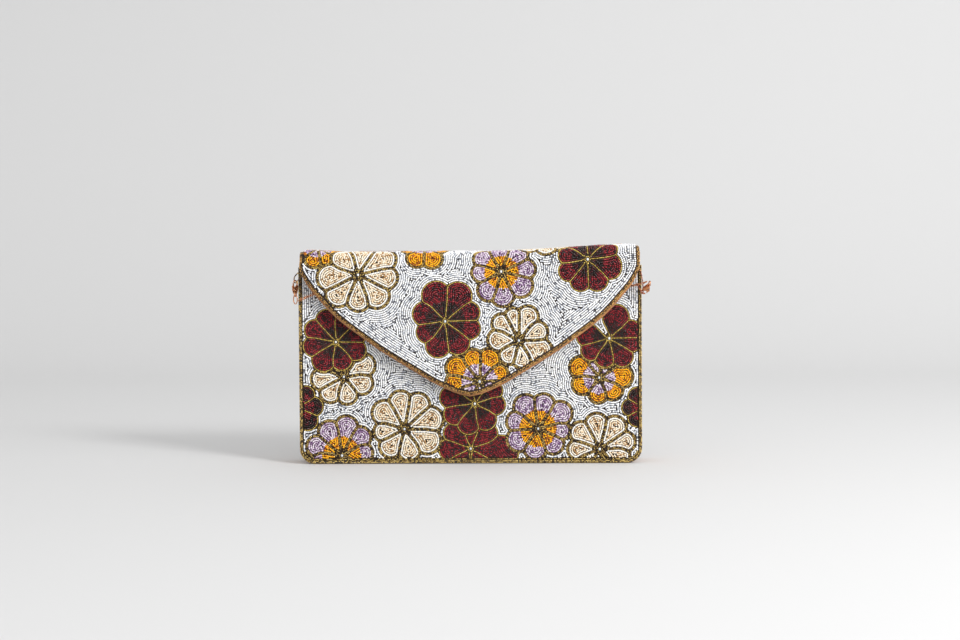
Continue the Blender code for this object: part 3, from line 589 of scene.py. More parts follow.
def contour_lines(field, level, origin):
    """Lines where a sampled field crosses a level, in panel millimetres, each with a flag: closed or open."""
    high, wide = field.shape
    above = field > level
    flat_cross = above[:, :-1] != above[:, 1:]
    up_cross = above[:-1] != above[1:]
    if not (flat_cross.any() or up_cross.any()):
        return []
    flat_id = np.where(flat_cross, np.arange(high * (wide - 1)).reshape(high, wide - 1), -1)
    first_up = high * (wide - 1)
    up_id = np.where(up_cross, first_up + np.arange((high - 1) * wide).reshape(high - 1, wide), -1)
    corners = np.stack([flat_id[:-1], up_id[:, 1:], flat_id[1:], up_id[:, :-1]], axis=-1).reshape(-1, 4)
    count = (corners >= 0).sum(axis=1)
    pairs = np.sort(corners[count == 2], axis=1)[:, 2:]
    saddles = corners[count == 4]
    pairs = np.vstack([pairs, saddles[:, :2], saddles[:, 2:]])
    ids, ends = np.unique(pairs, return_inverse=True)
    ends = ends.reshape(pairs.shape)
    near = [[] for _ in range(len(ids))]
    for a, b in ends.tolist():
        near[a].append(b)
        near[b].append(a)
    is_up = ids >= first_up
    row = np.where(is_up, (ids - first_up) // wide, ids // (wide - 1))
    column = np.where(is_up, (ids - first_up) % wide, ids % (wide - 1))
    next_row, next_column = row + is_up, column + ~is_up
    here, there = field[row, column], field[next_row, next_column]
    share = (level - here) / (there - here)
    places = np.stack([origin[0] + GRID * (column + share * ~is_up),
                       origin[1] + GRID * (row + share * is_up)], axis=1)
    lines, seen = [], [False] * len(ids)
    starts = [i for i in range(len(ids)) if len(near[i]) == 1] + list(range(len(ids)))
    for start in starts:
        if seen[start]:
            continue
        line, at = [start], start
        seen[start] = True
        while True:
            onwards = [n for n in near[at] if not seen[n]]
            if not onwards:
                break
            at = onwards[0]
            seen[at] = True
            line.append(at)
        closed = len(line) > 3 and start in near[at] and len(near[start]) == 2
        lines.append((places[line], closed))
    return lines


class Beadwork:
    """Beads laid on a flat panel: their places, thread directions and colours."""

    def __init__(self, outline):
        self.outline = outline
        self.low = outline.min(axis=0) - 1.0
        size = outline.max(axis=0) + 1.0 - self.low
        self.columns, self.rows = (int(ceil(s / GRID)) + 1 for s in size)
        self.taken = {}
        self.beads = []
        self.covered = np.zeros((self.rows, self.columns), bool)

    def window(self, u, v, reach):
        """Grid slices and coordinates of a square part of the panel."""
        first = [max(0, int((c - reach - low) / GRID)) for c, low in zip((u, v), self.low)]
        last = [min(n, int((c + reach - low) / GRID) + 2)
                for c, low, n in zip((u, v), self.low, (self.columns, self.rows))]
        across = self.low[0] + GRID * np.arange(first[0], last[0])
        up = self.low[1] + GRID * np.arange(first[1], last[1])
        part = (slice(first[1], last[1]), slice(first[0], last[0]))
        return part, *np.meshgrid(across, up)

    def lay(self, u, v, angle, colour, room):
        """Lays one bead if no other is nearer than the room it needs."""
        cell = (int(u // 2.0), int(v // 2.0))
        for i in (cell[0] - 1, cell[0], cell[0] + 1):
            for j in (cell[1] - 1, cell[1], cell[1] + 1):
                for x, y in self.taken.get((i, j), ()):
                    if (x - u) ** 2 + (y - v) ** 2 < room * room:
                        return
        self.taken.setdefault(cell, []).append((u, v))
        self.beads.append((u, v, angle, colour))

    def string(self, field, level, origin, allowed, colour_at, pitch=ALONG, room=1.02, missing=0.0):
        """Strings beads along a level of a field, where they are allowed."""
        for line, closed in contour_lines(field, level, origin):
            if len(line) < 3:
                continue
            places, ahead = resample(line, pitch, closed)
            open_here = allowed(places[:, 0], places[:, 1])
            for (u, v), (du, dv), ok in zip(places.tolist(), ahead.tolist(), open_here.tolist()):
                if ok and (missing == 0.0 or RNG.random() > missing):
                    self.lay(u, v, atan2(dv, du), colour_at(u, v), room)

    def fill(self, mask, part, colour_at, missing=0.0):
        """Fills what rows left bare with single beads."""
        reach = int(1.3 / GRID) + 1
        covered = np.zeros(mask.shape, bool)
        origin = (self.low[0] + GRID * part[1].start, self.low[1] + GRID * part[0].start)
        disc = [(i, j) for i in range(-reach, reach + 1) for j in range(-reach, reach + 1)
                if (i * i + j * j) * GRID * GRID < 1.16 * 1.16]
        places = np.array([bead[:2] for bead in self.beads]).reshape(-1, 2)
        cells = np.round((places - origin) / GRID).astype(int)
        for i, j in disc:
            rows, columns = cells[:, 1] + i, cells[:, 0] + j
            ok = (rows >= 0) & (rows < mask.shape[0]) & (columns >= 0) & (columns < mask.shape[1])
            covered[rows[ok], columns[ok]] = True
        bare = np.argwhere(mask & ~covered)
        for row, column in RNG.permutation(bare).tolist():
            if missing == 0.0 or RNG.random() > missing:
                u, v = origin[0] + GRID * column, origin[1] + GRID * row
                self.lay(u, v, RNG.random() * pi, colour_at(u, v), 1.14)


def petal_colour(flower, first_row):
    """A function from a place to the bead colour of a petal there."""
    _, edge, outer, inner, share = KINDS[flower.kind]

    def colour_at(u, v):
        if sqrt((u - flower.u) ** 2 + (v - flower.v) ** 2) < share * flower.reach:
            return inner
        return edge if first_row else outer

    return colour_at


def bead_flower(work, flower, over):
    """Beads one flower, leaving out what the flowers over it cover."""
    part, u, v = work.window(flower.u, flower.v, flower.reach + 3.0)
    if u.size == 0 or min(u.shape) < 3:
        return
    origin = (u[0, 0], v[0, 0])
    petals = flower.shapes(u, v)
    edge = outline_distance(work.outline, u, v)
    cut = np.full(u.shape, 1e9)
    for other in over:
        gap = 0.0 if other.double and flower.double else 0.5
        cut = np.minimum(cut, other.whole(u, v) - gap)
    core = np.hypot(u - flower.u, v - flower.v) - CORE

    def inside(x, y):
        return outline_distance(work.outline, x, y) > 0.55

    def free_of_others(x, y):
        clear = outline_distance(work.outline, x, y) > 0.55
        for other in over:
            clear &= other.whole(x, y) > (0.3 if other.double else 0.6)
        return clear

    work_core(work, flower, inside)
    line = "gold" if flower.double else "line"
    fields = []
    for i, petal in enumerate(petals):
        between = (np.delete(petals, i, axis=0).min(axis=0) - petal) / 2
        slope_v, slope_u = np.gradient(between, GRID)
        between = between / np.clip(np.hypot(slope_u, slope_v), 0.5, 1.0)
        shape = np.minimum(np.minimum(-petal, between), np.minimum(cut, core))
        fields.append(shape)
        work.string(shape, flower.outline, origin, inside, lambda x, y: line, FINE, 0.86)
    if flower.double:
        outer = np.minimum(petals.min(axis=0), core)
        work.string(outer, flower.outline, origin, free_of_others, lambda x, y: "gold", FINE, 0.86)
    for shape in fields:
        level = flower.margin + ROW / 2
        first = True
        while (shape > level).any():
            work.string(shape, level, origin, inside, petal_colour(flower, first))
            level += ROW
            first = False
        mask = (shape > flower.margin + 0.35) & (edge > 0.6)
        work.fill(mask, part, petal_colour(flower, False))


def work_core(work, flower, inside):
    """The pale bead at a flower's middle and the ring round it."""
    places = [(0.0, 0.0, 0.0, "pearl")]
    for i in range(9):
        a = 2 * pi * i / 9
        places.append((1.85 * cos(a), 1.85 * sin(a), a + pi / 2, "gold" if flower.double else "line"))
    for x, y, angle, colour in places:
        if inside(np.array([flower.u + x]), np.array([flower.v + y]))[0]:
            work.lay(flower.u + x, flower.v + y, angle, colour, 1.2 if colour == "pearl" else 0.8)


def bead_panel(outline, flowers, hem):
    """All the beads of one panel: its gold hem, flowers from the top one down, then the ground."""
    work = Beadwork(outline)
    part, u, v = work.window(0.0, 0.0, 1e4)
    edge = outline_distance(outline, u, v)
    work.string(edge, 0.55, (u[0, 0], v[0, 0]), hem, lambda x, y: "gold", FINE, 0.86)
    for i in reversed(range(len(flowers))):
        bead_flower(work, flowers[i], flowers[i + 1:])
    ground = edge - 0.1
    for flower in flowers:
        piece, x, y = work.window(flower.u, flower.v, flower.reach + 14.0)
        if x.size:
            ground[piece] = np.minimum(ground[piece], flower.whole(x, y) - flower.margin)
    level = ROW / 2
    while (ground > level).any():
        work.string(ground, level, (u[0, 0], v[0, 0]), lambda x, y: np.ones(len(x), bool),
                    lambda x, y: "silver", missing=0.004)
        level += ROW
    work.fill(ground > 0.35, part, lambda x, y: "silver", missing=0.25)
    return work.beads


def bead_pieces(zone, beads, surface, attach, nodes):
    """Turns a zone's beads into pieces, one or more for each colour of the record."""
    slots = {}
    for bead in beads:
        slots.setdefault(BEADS[bead[3]][0], {}).setdefault(bead[3], []).append(bead[:3])
    made = []
    for slot in sorted(slots):
        looks, rows, tints = [], [], []
        for colour in sorted(slots[slot]):
            group = slots[slot][colour]
            tints.append(len(looks) + bead_tints(colour, len(group)))
            looks += bead_looks(colour)
            rows += [(*place, BEADS[colour][4]) for place in group]
        rows, tints = np.array(rows), np.concatenate(tints)
        pieces = ceil(len(rows) / 6000)
        order = np.argsort(rows[:, 0], kind="stable")
        for number, chosen in enumerate(np.array_split(order, pieces)):
            name = f"{zone}_{slot}" + (f"_{number + 1}" if pieces > 1 else "")
            made.append(bead_piece(name, rows[chosen], tints[chosen], looks, surface))
            attach(made[-1])
    if nodes:
        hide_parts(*nodes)
    return made


def bead_piece(name, rows, tints, looks, surface):
    """Beads laid on a surface from rows of place, direction and width, each a little out of line."""
    count = len(rows)
    u = rows[:, 0] + RNG.normal(0, 0.035, count)
    v = rows[:, 1] + RNG.normal(0, 0.035, count)
    angle = rows[:, 2] + RNG.normal(0, 0.07, count)
    centres, normals = on_surface(surface, u, v, BEAD_DEPTH + RNG.normal(0, 0.04, count))
    ahead, _ = on_surface(surface, u + 0.3 * np.cos(angle), v + 0.3 * np.sin(angle),
                          np.full(count, BEAD_DEPTH))
    behind, _ = on_surface(surface, u - 0.3 * np.cos(angle), v - 0.3 * np.sin(angle),
                           np.full(count, BEAD_DEPTH))
    width = rows[:, 3]
    sizes = np.stack([0.2 + 0.47 * width, width, 0.25 + 0.64 * width], axis=1)
    sizes *= RNG.normal(1.0, 0.035, (count, 1))
    return bead_object(name, centres, ahead - behind, normals, sizes, tints, looks)


def ride_on(body):
    """A function that lets a piece ride on a body."""
    return lambda piece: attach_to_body(piece, body)


def bend_front():
    """Gives a function that bakes a piece's place into its mesh; the piece is not bent and rides on no body.
    """
    return lambda piece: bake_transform(piece)


def bend_back():
    """Gives a function that bakes a piece's place into its mesh; the piece is not bent and rides on no body.
    """
    return lambda piece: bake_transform(piece)


def build_beadwork():
    bead_pieces("front", bead_panel(front_outline(), FRONT_FLOWERS, lambda x, y: y < 9.0), front_surface,
                ride_on("bag"), ["front_beadwork"])
    strip = bead_panel(wrap_outline(), WRAP_FLOWERS, lambda x, y: y > BACK_BOTTOM - 6.0)
    zones = (("flap", -1e9, FLAP_TOP, ride_on("flap"), ["flap_beadwork"]),
             ("fold_front", FLAP_TOP, SPINE_START, bend_front(), []),
             ("spine", SPINE_START, SPINE_END, ride_on("flap_spine"), ["spine_beadwork"]),
             ("fold_back", SPINE_END, BACK_TOP, bend_back(), []),
             ("back", BACK_TOP, 1e9, ride_on("bag"), ["back_beadwork"]))
    for zone, low, high, attach, nodes in zones:
        bead_pieces(zone, [b for b in strip if low <= b[1] < high], wrap_surface, attach, nodes)


# ---------------------------------------------------------------- beaded piping

def piping_rows(line, outwards, radius=PIPING_RADIUS, rows=5, width=0.47):
    """Beads in rows along a cord: centres, directions and normals. outwards faces the first row."""
    found = []
    for row in range(rows):
        places, ahead = resample(np.hstack([line, outwards]), 1.0)
        places, face = places[:, :3], unit(places[:, 3:])
        ahead = unit(ahead[:, :3])
        side = unit(np.cross(ahead, face))
        face = np.cross(side, ahead)
        angle = 2 * pi * (row + 0.5) / rows
        normal = face * cos(angle) + side * sin(angle)
        found.append((places + normal * (radius - width) + ahead * (row % 2) * 0.5, ahead, normal))
    return [np.concatenate(parts) for parts in zip(*found)]


def piping_piece(name, line, outwards, attach, nodes=(), colour="edge"):
    """A cord wrapped in rows of beads, with its dark core."""
    centres, ahead, normals = piping_rows(line, outwards)
    count = len(centres)
    sizes = np.tile([0.47, 0.46, 0.44], (count, 1)) * RNG.normal(1.0, 0.04, (count, 1))
    piece = bead_object(f"{name}_beads", centres, ahead, normals, sizes, bead_tints(colour, count),
                        bead_looks(colour))
    attach(piece)
    core = tube(f"{name}_core", line, PIPING_RADIUS * 0.62, 8, THREAD)
    attach(core)
    if nodes:
        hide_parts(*nodes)


def tube(name, line, radius, sides, look, closed=False):
    """A round tube mesh along points in millimetres."""
    line = np.asarray(line, float)
    if closed:
        ahead = unit(np.roll(line, -1, axis=0) - np.roll(line, 1, axis=0))
    else:
        ahead = unit(np.gradient(line, axis=0))
    side = np.zeros_like(line)
    reference = np.array([0.0, 0.0, 1.0]) if abs(ahead[0, 2]) < 0.9 else np.array([1.0, 0.0, 0.0])
    side[0] = unit(np.cross(ahead[0], reference))
    for i in range(1, len(line)):
        side[i] = unit(side[i - 1] - ahead[i] * side[i - 1].dot(ahead[i]))
    up = np.cross(ahead, side)
    turn = 2 * pi * np.arange(sides) / sides
    ring = np.cos(turn)[None, :, None] * side[:, None] + np.sin(turn)[None, :, None] * up[:, None]
    points = (line[:, None] + radius * ring).reshape(-1, 3)
    count = len(line)
    rows = np.arange(count if closed else count - 1)
    i, j = np.meshgrid(rows, np.arange(sides), indexing="ij")
    following, beside = (i + 1) % count, (j + 1) % sides
    quads = np.stack([i * sides + j, i * sides + beside, following * sides + beside, following * sides + j],
                     axis=-1)
    polygons = [quads.reshape(-1, 4)]
    if not closed:
        last = (count - 1) * sides
        polygons.append(np.array([list(range(sides))[::-1], list(range(last, last + sides))]))
    return mesh_from(name, points, polygons, True, [look])


def build_piping():
    inset = PIPING_RADIUS
    foot = rounded_foot(WIDTH / 2 - inset, inset + 0.2, BOTTOM_CORNER - inset, 12)
    right = np.vstack([foot, np.stack([np.full(40, WIDTH / 2 - inset), np.linspace(12, MOUTH_HEIGHT, 40)],
                                      axis=1)])
    seam = np.vstack([right[::-1] * (-1, 1), right])
    front = np.stack([seam[:, 0], front_y(seam[:, 1], 1.0), seam[:, 1]], axis=1)
    facing = np.tile([0.0, -1.0, 0.0], (len(seam), 1))
    piping_piece("front_edge", front, facing, ride_on("bag"), ["front_piping"], "gold")
    back = np.stack([seam[:, 0], back_y(seam[:, 1], 1.0), seam[:, 1]], axis=1)
    piping_piece("back_edge", back, -facing, ride_on("bag"), ["back_piping"], "gold")
    half = MOUTH_HEIGHT + 1.4
    mouth = np.stack([np.linspace(-WALL_HALF_WIDTH, WALL_HALF_WIDTH, 60),
                      np.full(60, front_y(half, WALL / 2)),
                      np.full(60, half)], axis=1)
    piping_piece("mouth_edge", mouth, np.tile([0.0, 0.0, 1.0], (60, 1)), ride_on("bag"), ["mouth_piping"],
                 "gold")
    edge = flap_right_edge(PIPING_RADIUS)
    edge = edge[edge[:, 1] <= FLAP_TOP]
    edge = np.vstack([[(edge[0, 0], FLAP_TOP)], edge])
    whole = np.vstack([edge, edge[-2::-1] * (-1, 1)])
    points, normals = on_surface(wrap_surface, whole[:, 0], whole[:, 1], np.full(len(whole), WALL / 2))
    piping_piece("flap_edge", points, normals, ride_on("flap"), ["flap_piping"])
    half_width = FLAP_HALF_WIDTH - PIPING_RADIUS
    for side, name, node in ((-1, "left", "spine_piping_left"), (1, "right", "spine_piping_right")):
        parts = (("fold_front", FLAP_TOP, SPINE_START, bend_front(), []),
                 ("spine", SPINE_START, SPINE_END, ride_on("flap_spine"), [node]),
                 ("fold_back", SPINE_END, BACK_TOP, bend_back(), []))
        for zone, low, high, attach, nodes in parts:
            v = np.linspace(low, high, 24)
            share = np.clip((v - SPINE_END) / QUARTER, 0, 1)
            depth = WALL / 2 + (1.0 - WALL / 2) * share
            width = half_width + (WIDTH / 2 - PIPING_RADIUS - half_width) * share
            points, normals = on_surface(wrap_surface, side * width, v, depth)
            piping_piece(f"{zone}_edge_{name}", points, normals, attach, nodes)
        v = np.linspace(BACK_TOP, BACK_TOP + MEET - MOUTH_HEIGHT, 8)
        points, normals = on_surface(wrap_surface, np.full(8, side * (WIDTH / 2 - PIPING_RADIUS)), v,
                                     np.full(8, 1.0))
        piping_piece(f"back_top_edge_{name}", points, normals, ride_on("bag"))


# ---------------------------------------------------------------- thread, cloth, board, metal

THREAD = plain_shader("thread_core", srgb(52, 38, 22), 0.85)
SEAM_THREAD = plain_shader("seam_thread", srgb(196, 150, 100), 0.6, Sheen_Weight=0.3)


def node(tree, kind, **values):
    made = tree.nodes.new(kind)
    for name, value in values.items():
        if name in made.inputs:
            made.inputs[name].default_value = value
        else:
            setattr(made, name, value)
    return made


def woven(name, dark, light, pitch, roughness, sheen=0.0, depth=0.25, threads=("X", "Z")):
    """A fine plain weave: two sets of threads, uneven colour and a soft bump. pitch is in millimetres."""
    made = plain_shader(name, dark, roughness, Sheen_Weight=sheen)
    tree = made.node_tree
    shader = tree.nodes["Principled BSDF"]
    place = node(tree, "ShaderNodeTexCoord")
    heights = []
    for direction in threads:
        wave = node(tree, "ShaderNodeTexWave", Scale=1.0 / (pitch * MM) / 20 * 6.28318 * 0.5,
                    Distortion=1.2, Detail=2.0)
        wave.wave_type = "BANDS"
        wave.bands_direction = direction
        tree.links.new(place.outputs["Object"], wave.inputs["Vector"])
        heights.append(wave)
    both = node(tree, "ShaderNodeMath")
    both.operation = "MULTIPLY"
    tree.links.new(heights[0].outputs["Fac"], both.inputs[0])
    tree.links.new(heights[1].outputs["Fac"], both.inputs[1])
    cloud = node(tree, "ShaderNodeTexNoise", Scale=60.0, Detail=5.0, Roughness=0.6)
    tree.links.new(place.outputs["Object"], cloud.inputs["Vector"])
    blend = node(tree, "ShaderNodeMath")
    blend.operation = "MULTIPLY_ADD"
    blend.inputs[1].default_value = 0.45
    tree.links.new(both.outputs[0], blend.inputs[0])
    tree.links.new(cloud.outputs["Fac"], blend.inputs[2])
    ramp = node(tree, "ShaderNodeValToRGB")
    ramp.color_ramp.elements[0].position = 0.3
    ramp.color_ramp.elements[0].color = (*dark, 1.0)
    ramp.color_ramp.elements[1].position = 0.85
    ramp.color_ramp.elements[1].color = (*light, 1.0)
    tree.links.new(blend.outputs[0], ramp.inputs["Fac"])
    tree.links.new(ramp.outputs["Color"], shader.inputs["Base Color"])
    bump = node(tree, "ShaderNodeBump", Strength=depth, Distance=0.0003)
    tree.links.new(blend.outputs[0], bump.inputs["Height"])
    tree.links.new(bump.outputs["Normal"], shader.inputs["Normal"])
    return made


def brushed(name, dark, light, roughness):
    """Metal with faint uneven wear."""
    made = plain_shader(name, light, roughness, 1.0)
    tree = made.node_tree
    shader = tree.nodes["Principled BSDF"]
    place = node(tree, "ShaderNodeTexCoord")
    cloud = node(tree, "ShaderNodeTexNoise", Scale=900.0, Detail=4.0, Roughness=0.6)
    tree.links.new(place.outputs["Object"], cloud.inputs["Vector"])
    ramp = node(tree, "ShaderNodeValToRGB")
    ramp.color_ramp.elements[0].position = 0.3
    ramp.color_ramp.elements[0].color = (*dark, 1.0)
    ramp.color_ramp.elements[1].position = 0.6
    ramp.color_ramp.elements[1].color = (*light, 1.0)
    tree.links.new(cloud.outputs["Fac"], ramp.inputs["Fac"])
    tree.links.new(ramp.outputs["Color"], shader.inputs["Base Color"])
    bump = node(tree, "ShaderNodeBump", Strength=0.15, Distance=0.0001)
    tree.links.new(cloud.outputs["Fac"], bump.inputs["Height"])
    tree.links.new(bump.outputs["Normal"], shader.inputs["Normal"])
    return made


LOOKS = {
    # backing cloth: made dark so that it also paints shade into the gaps between beads
    "backing_cloth": woven("dark_backing", srgb(34, 26, 22), srgb(66, 52, 42), 0.5, 0.95),
    "stiff_board": woven("grey_board", srgb(120, 100, 78), srgb(150, 128, 100), 0.8, 0.9),
    "tan_satin": woven("tan_satin_weave", srgb(152, 100, 54), srgb(184, 128, 74), 0.7, 0.42, 0.3, 0.3),
    "side_satin": woven("tan_satin_side", srgb(152, 100, 54), srgb(184, 128, 74), 0.7, 0.42, 0.3, 0.3,
                        ("Y", "Z")),
    "brass": brushed("worn_brass", srgb(178, 134, 68), srgb(206, 160, 88), 0.28),
    "steel": brushed("worn_steel", srgb(120, 120, 122), srgb(190, 190, 192), 0.32),
    "rose_gold": brushed("worn_rose_gold", srgb(178, 116, 76), srgb(216, 152, 108), 0.25),
    "magnet": brushed("worn_nickel", srgb(70, 70, 74), srgb(110, 110, 114), 0.4),
    "gold_beads": brushed("worn_gold", srgb(110, 84, 40), srgb(170, 134, 70), 0.3),
    "silver_beads": woven("silver_cloth", srgb(150, 152, 158), srgb(220, 222, 226), 0.8, 0.5),
}


def dress_cad():
    """Gives every CAD node the procedural look of its material slot."""
    for row in frame["record"]["subparts"]:
        thing = frame["nodes"][row["node"]]
        thing.data.materials.clear()
        thing.data.materials.append(LOOKS[row["material_slot"]])


# ---------------------------------------------------------------- chain

CHAIN_WIDTH = 2.3
LINK_LENGTH = 3.5
LINK_WIRE = 0.29
LINK_PITCH = LINK_LENGTH - 4 * LINK_WIRE + 0.1
COIL_CENTRE = np.array([-78.0, CENTRE_Y, 21.2])
COIL_RADIUS = 14.0
WINDING_RADIUS = 2.9
TURNS = 6.25


def at_front(x, z, depth):
    return np.array([x, front_y(z, depth), z])


def link_template(around=14, sides=6):
    """One oval link of round wire, long in its first direction and wide in its second."""
    straight, bend = (LINK_LENGTH - CHAIN_WIDTH) / 2, CHAIN_WIDTH / 2 - LINK_WIRE
    turn = 2 * pi * (np.arange(around) + 0.5) / around
    outward = np.stack([np.cos(turn), np.sin(turn), 0 * turn], axis=1)
    line = bend * outward
    line[:, 0] += straight * np.sign(np.cos(turn))
    wire = 2 * pi * np.arange(sides) / sides
    up = np.array([0.0, 0.0, 1.0])
    ring = outward[:, None] * np.cos(wire)[None, :, None] + up * np.sin(wire)[None, :, None]
    points = (line[:, None] + LINK_WIRE * ring).reshape(-1, 3)
    i, j = np.meshgrid(np.arange(around), np.arange(sides), indexing="ij")
    onwards, beside = (i + 1) % around, (j + 1) % sides
    quads = np.stack([i * sides + j, onwards * sides + j, onwards * sides + beside, i * sides + beside],
                     axis=-1)
    return points, quads.reshape(-1, 4)


def chain_piece(name, line):
    """Oval links along a line, each a quarter turn from the one before."""
    centres, ahead = resample(line, LINK_PITCH)
    side = np.zeros_like(centres)
    side[0] = unit(np.cross(ahead[0], (0.3, 1.0, 0.2)))
    for i in range(1, len(centres)):
        side[i] = unit(side[i - 1] - ahead[i] * side[i - 1].dot(ahead[i]))
    up = np.cross(ahead, side)
    turn = (pi / 4 + pi / 2 * (np.arange(len(centres)) % 2) + RNG.normal(0, 0.09, len(centres)))[:, None]
    across = side * np.cos(turn) + up * np.sin(turn)
    frames = np.stack([ahead, across, np.cross(ahead, across)], axis=1)
    template, quads = link_template()
    points = centres[:, None] + np.einsum("pk,nkx->npx", template, frames)
    step = np.arange(len(centres))[:, None, None] * len(template)
    piece = mesh_from(name, points.reshape(-1, 3), [(quads[None] + step).reshape(-1, 4)], True,
                      [LOOKS["rose_gold"]])
    return piece


def free_chain(name, line, attach, node_name):
    """A length of chain laid along a line, with its CAD node hidden."""
    piece = chain_piece(name, line)
    attach(piece)
    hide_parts(node_name)
    path = [tuple(point) for point in resample(line, 1.5)[0] * MM]


def coil_line():
    """The wound chain: its turns climb round the winding's own cross-section."""
    share = np.linspace(0, 1, int(TURNS * 40))
    angle = pi + 2 * pi * TURNS * share
    climb = radians(30) + radians(300) * share
    reach = COIL_RADIUS + WINDING_RADIUS * np.cos(climb)
    return COIL_CENTRE + np.stack([reach * np.cos(angle), WINDING_RADIUS * np.sin(climb),
                                   reach * np.sin(angle)], axis=1)


def swing_with():
    """Gives a function that bakes a piece's place into its mesh; the piece is not bent."""
    z, y = 0.13, front_y(130.0) * MM
    return lambda piece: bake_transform(piece)


def build_chain():
    coil = coil_line()
    outside = ((-125.9, 121.6, -4.6), (-123.0, 123.0, -3.3), (-119.4, 124.6, -2.2), (-114, 126.8, -1.9),
               (-107, 131.0, -1.9), (-100, 137.6, -1.9), (-96, 144.0, -1.9), (-94.8, 149.2, -1.3),
               (-94.5, 151.1, 2.7), (-94.4, 148.9, 6.9))
    hanging = ((-4.0, 141), (-2.2, 122), (-0.8, 92), (0.3, 60), (1.0, 40))
    points = [at_front(*place) for place in outside]
    points += [np.array([-94.4, CENTRE_Y + y, z]) for y, z in hanging]
    free_chain("chain_left", smooth_curve(points + [coil[0], coil[4]])[:-12],
               swing_with(),
               "chain_left_end")
    free_chain("chain_wound", coil, ride_on("bag"), "chain_coil")
    inside = ((-40, 0, 0), (0, 0.6, 0), (40, -0.4, 0), (76, 0, 0.4), (90, 0, 5), (97.5, -0.3, 16),
              (99.5, -0.8, 40),
              (99.5, -1.6, 80), (99.6, -3.0, 120), (99.8, -4.2, 141))
    outside = ((100.0, 148.9, 6.9), (100.2, 151.1, 2.7), (100.6, 149.2, -1.3), (102.6, 143.6, -1.9),
               (107, 137.0, -1.9), (112.4, 132.8, -1.9), (118.6, 131.4, -2.0), (122.6, 131.8, -3.8),
               (126.4, 133.0, -6.4), (129.9, 134.3, -8.8))
    points = [coil[-5], coil[-1], np.array([-67.0, CENTRE_Y - 0.6, 4.4])]
    points += [np.array([x, CENTRE_Y + y, 4.3 + z]) for x, y, z in inside]
    points += [at_front(*place) for place in outside]
    free_chain("chain_right", smooth_curve(points)[12:], swing_with(), "chain_right_end")


# ---------------------------------------------------------------- loops and clasps

# Each loop: its points before and after the clasp's hook, the place where it lies in the hook, the
# direction it runs there, its bead colours and the room between beads.
LOOPS = {
    "left": (((-123.2, 143.2, -0.9), (-126.0, 142.4, -1.6), (-129.2, 139.0, -1.8)),
             ((-126.4, 136.4, -5.4), (-124.6, 138.6, -3.0), (-123.0, 139.6, -0.9)),
             (-128.22, -11.07, 134.9), (-0.8211, 0.5708, 0.0), "loop", 1.12),
    "right": (((123.0, 144.2, -0.9), (125.6, 142.0, -1.6), (127.3, 134.5, -1.9)),
              ((126.5, 126.4, -6.6), (124.6, 130.0, -4.2), (122.6, 132.6, -0.9)),
              (127.59, -11.5, 126.49), (0.0, 0.663, 0.7486), "russet", 1.3),
}


def build_loops():
    for side, (before, after, seat, across, colour, pitch) in LOOPS.items():
        seat, across = np.array(seat), np.array(across)
        points = [at_front(*place) for place in before] + [seat + across * 1.3, seat, seat - across * 1.3]
        line = smooth_curve(points + [at_front(*place) for place in after], 8)
        centres, ahead = resample(line, pitch)
        count = len(centres)
        normals = unit(np.cross(ahead, (0.2, 1.0, 0.3)))
        sizes = np.tile([0.5, 0.56, 0.56], (count, 1)) * RNG.normal(1.0, 0.05, (count, 1))
        piece = bead_object(f"{side}_loop_beads", centres, ahead, normals, sizes, bead_tints(colour, count),
                            bead_looks(colour))
        thread = tube(f"{side}_loop_thread", line, 0.2, 6, THREAD)
        for made, slot in ((piece, "gold_beads"), (thread, "backing_cloth")):
            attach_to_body(made, "bag")
        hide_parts(f"{side}_loop")


def applied(thing):
    """Replaces an object's mesh by what its modifiers make of it."""
    view = bpy.context.evaluated_depsgraph_get()
    made = bpy.data.meshes.new_from_object(thing.evaluated_get(view))
    thing.modifiers.clear()
    thing.data = made
    made.shade_smooth()
    made.set_sharp_from_angle(angle=radians(38))


def polished(node_name, attach, slot, round_wire=False):
    """A finely shaped copy of a metal part: rounded edges, or for wire a smooth round section."""
    source = frame["nodes"][node_name]
    piece = bpy.data.objects.new(f"{node_name}_polished", source.data.copy())
    piece.matrix_world = source.matrix_world.copy()
    bpy.context.scene.collection.objects.link(piece)
    bm = bmesh.new()
    bm.from_mesh(piece.data)
    bmesh.ops.remove_doubles(bm, verts=bm.verts, dist=0.002 * MM)
    bmesh.ops.dissolve_limit(bm, angle_limit=radians(2), verts=bm.verts, edges=bm.edges)
    bm.to_mesh(piece.data)
    bm.free()
    if round_wire:
        piece.modifiers.new("round", "SUBSURF").levels = 2
    else:
        bevel = piece.modifiers.new("edges", "BEVEL")
        bevel.width = 0.14 * MM
        bevel.segments = 3
        bevel.limit_method = "ANGLE"
        bevel.angle_limit = radians(32)
    applied(piece)
    piece.data.materials.clear()
    piece.data.materials.append(LOOKS[slot])
    attach(piece)
    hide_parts(node_name)


def squeezed_by_lever(side):
    """Finds the axis of a clasp's spring coil, turned towards its lever, and gives a function that only bakes
    a piece's place into its mesh; the spring is not bent.
    """
    def places(part):
        source = frame["nodes"][f"{side}_clasp_{part}"]
        return np.array([source.matrix_world @ vertex.co for vertex in source.data.vertices])
    coil = places("spring")
    middle = coil.mean(axis=0)
    axis = np.linalg.svd(coil - middle, full_matrices=False)[2][2]
    axis *= np.sign((places("lever").mean(axis=0) - middle).dot(axis)) * 0.3 * MM
    return lambda piece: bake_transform(piece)


def build_metal():
    for side in ("left", "right"):
        on_clasp = ride_on(f"{side}_clasp")
        polished(f"{side}_clasp_body", on_clasp, "rose_gold")
        polished(f"{side}_clasp_lever", ride_on(f"{side}_lever"), "rose_gold")
        polished(f"{side}_clasp_lever_pin", on_clasp, "steel")
        polished(f"{side}_clasp_spring", squeezed_by_lever(side), "steel", True)
        polished(f"{side}_jump_ring", on_clasp, "rose_gold", True)
    polished("snap_socket_case", ride_on("bag"), "brass")
    polished("snap_stud", ride_on("flap"), "brass")
    polished("snap_magnet", ride_on("bag"), "magnet")


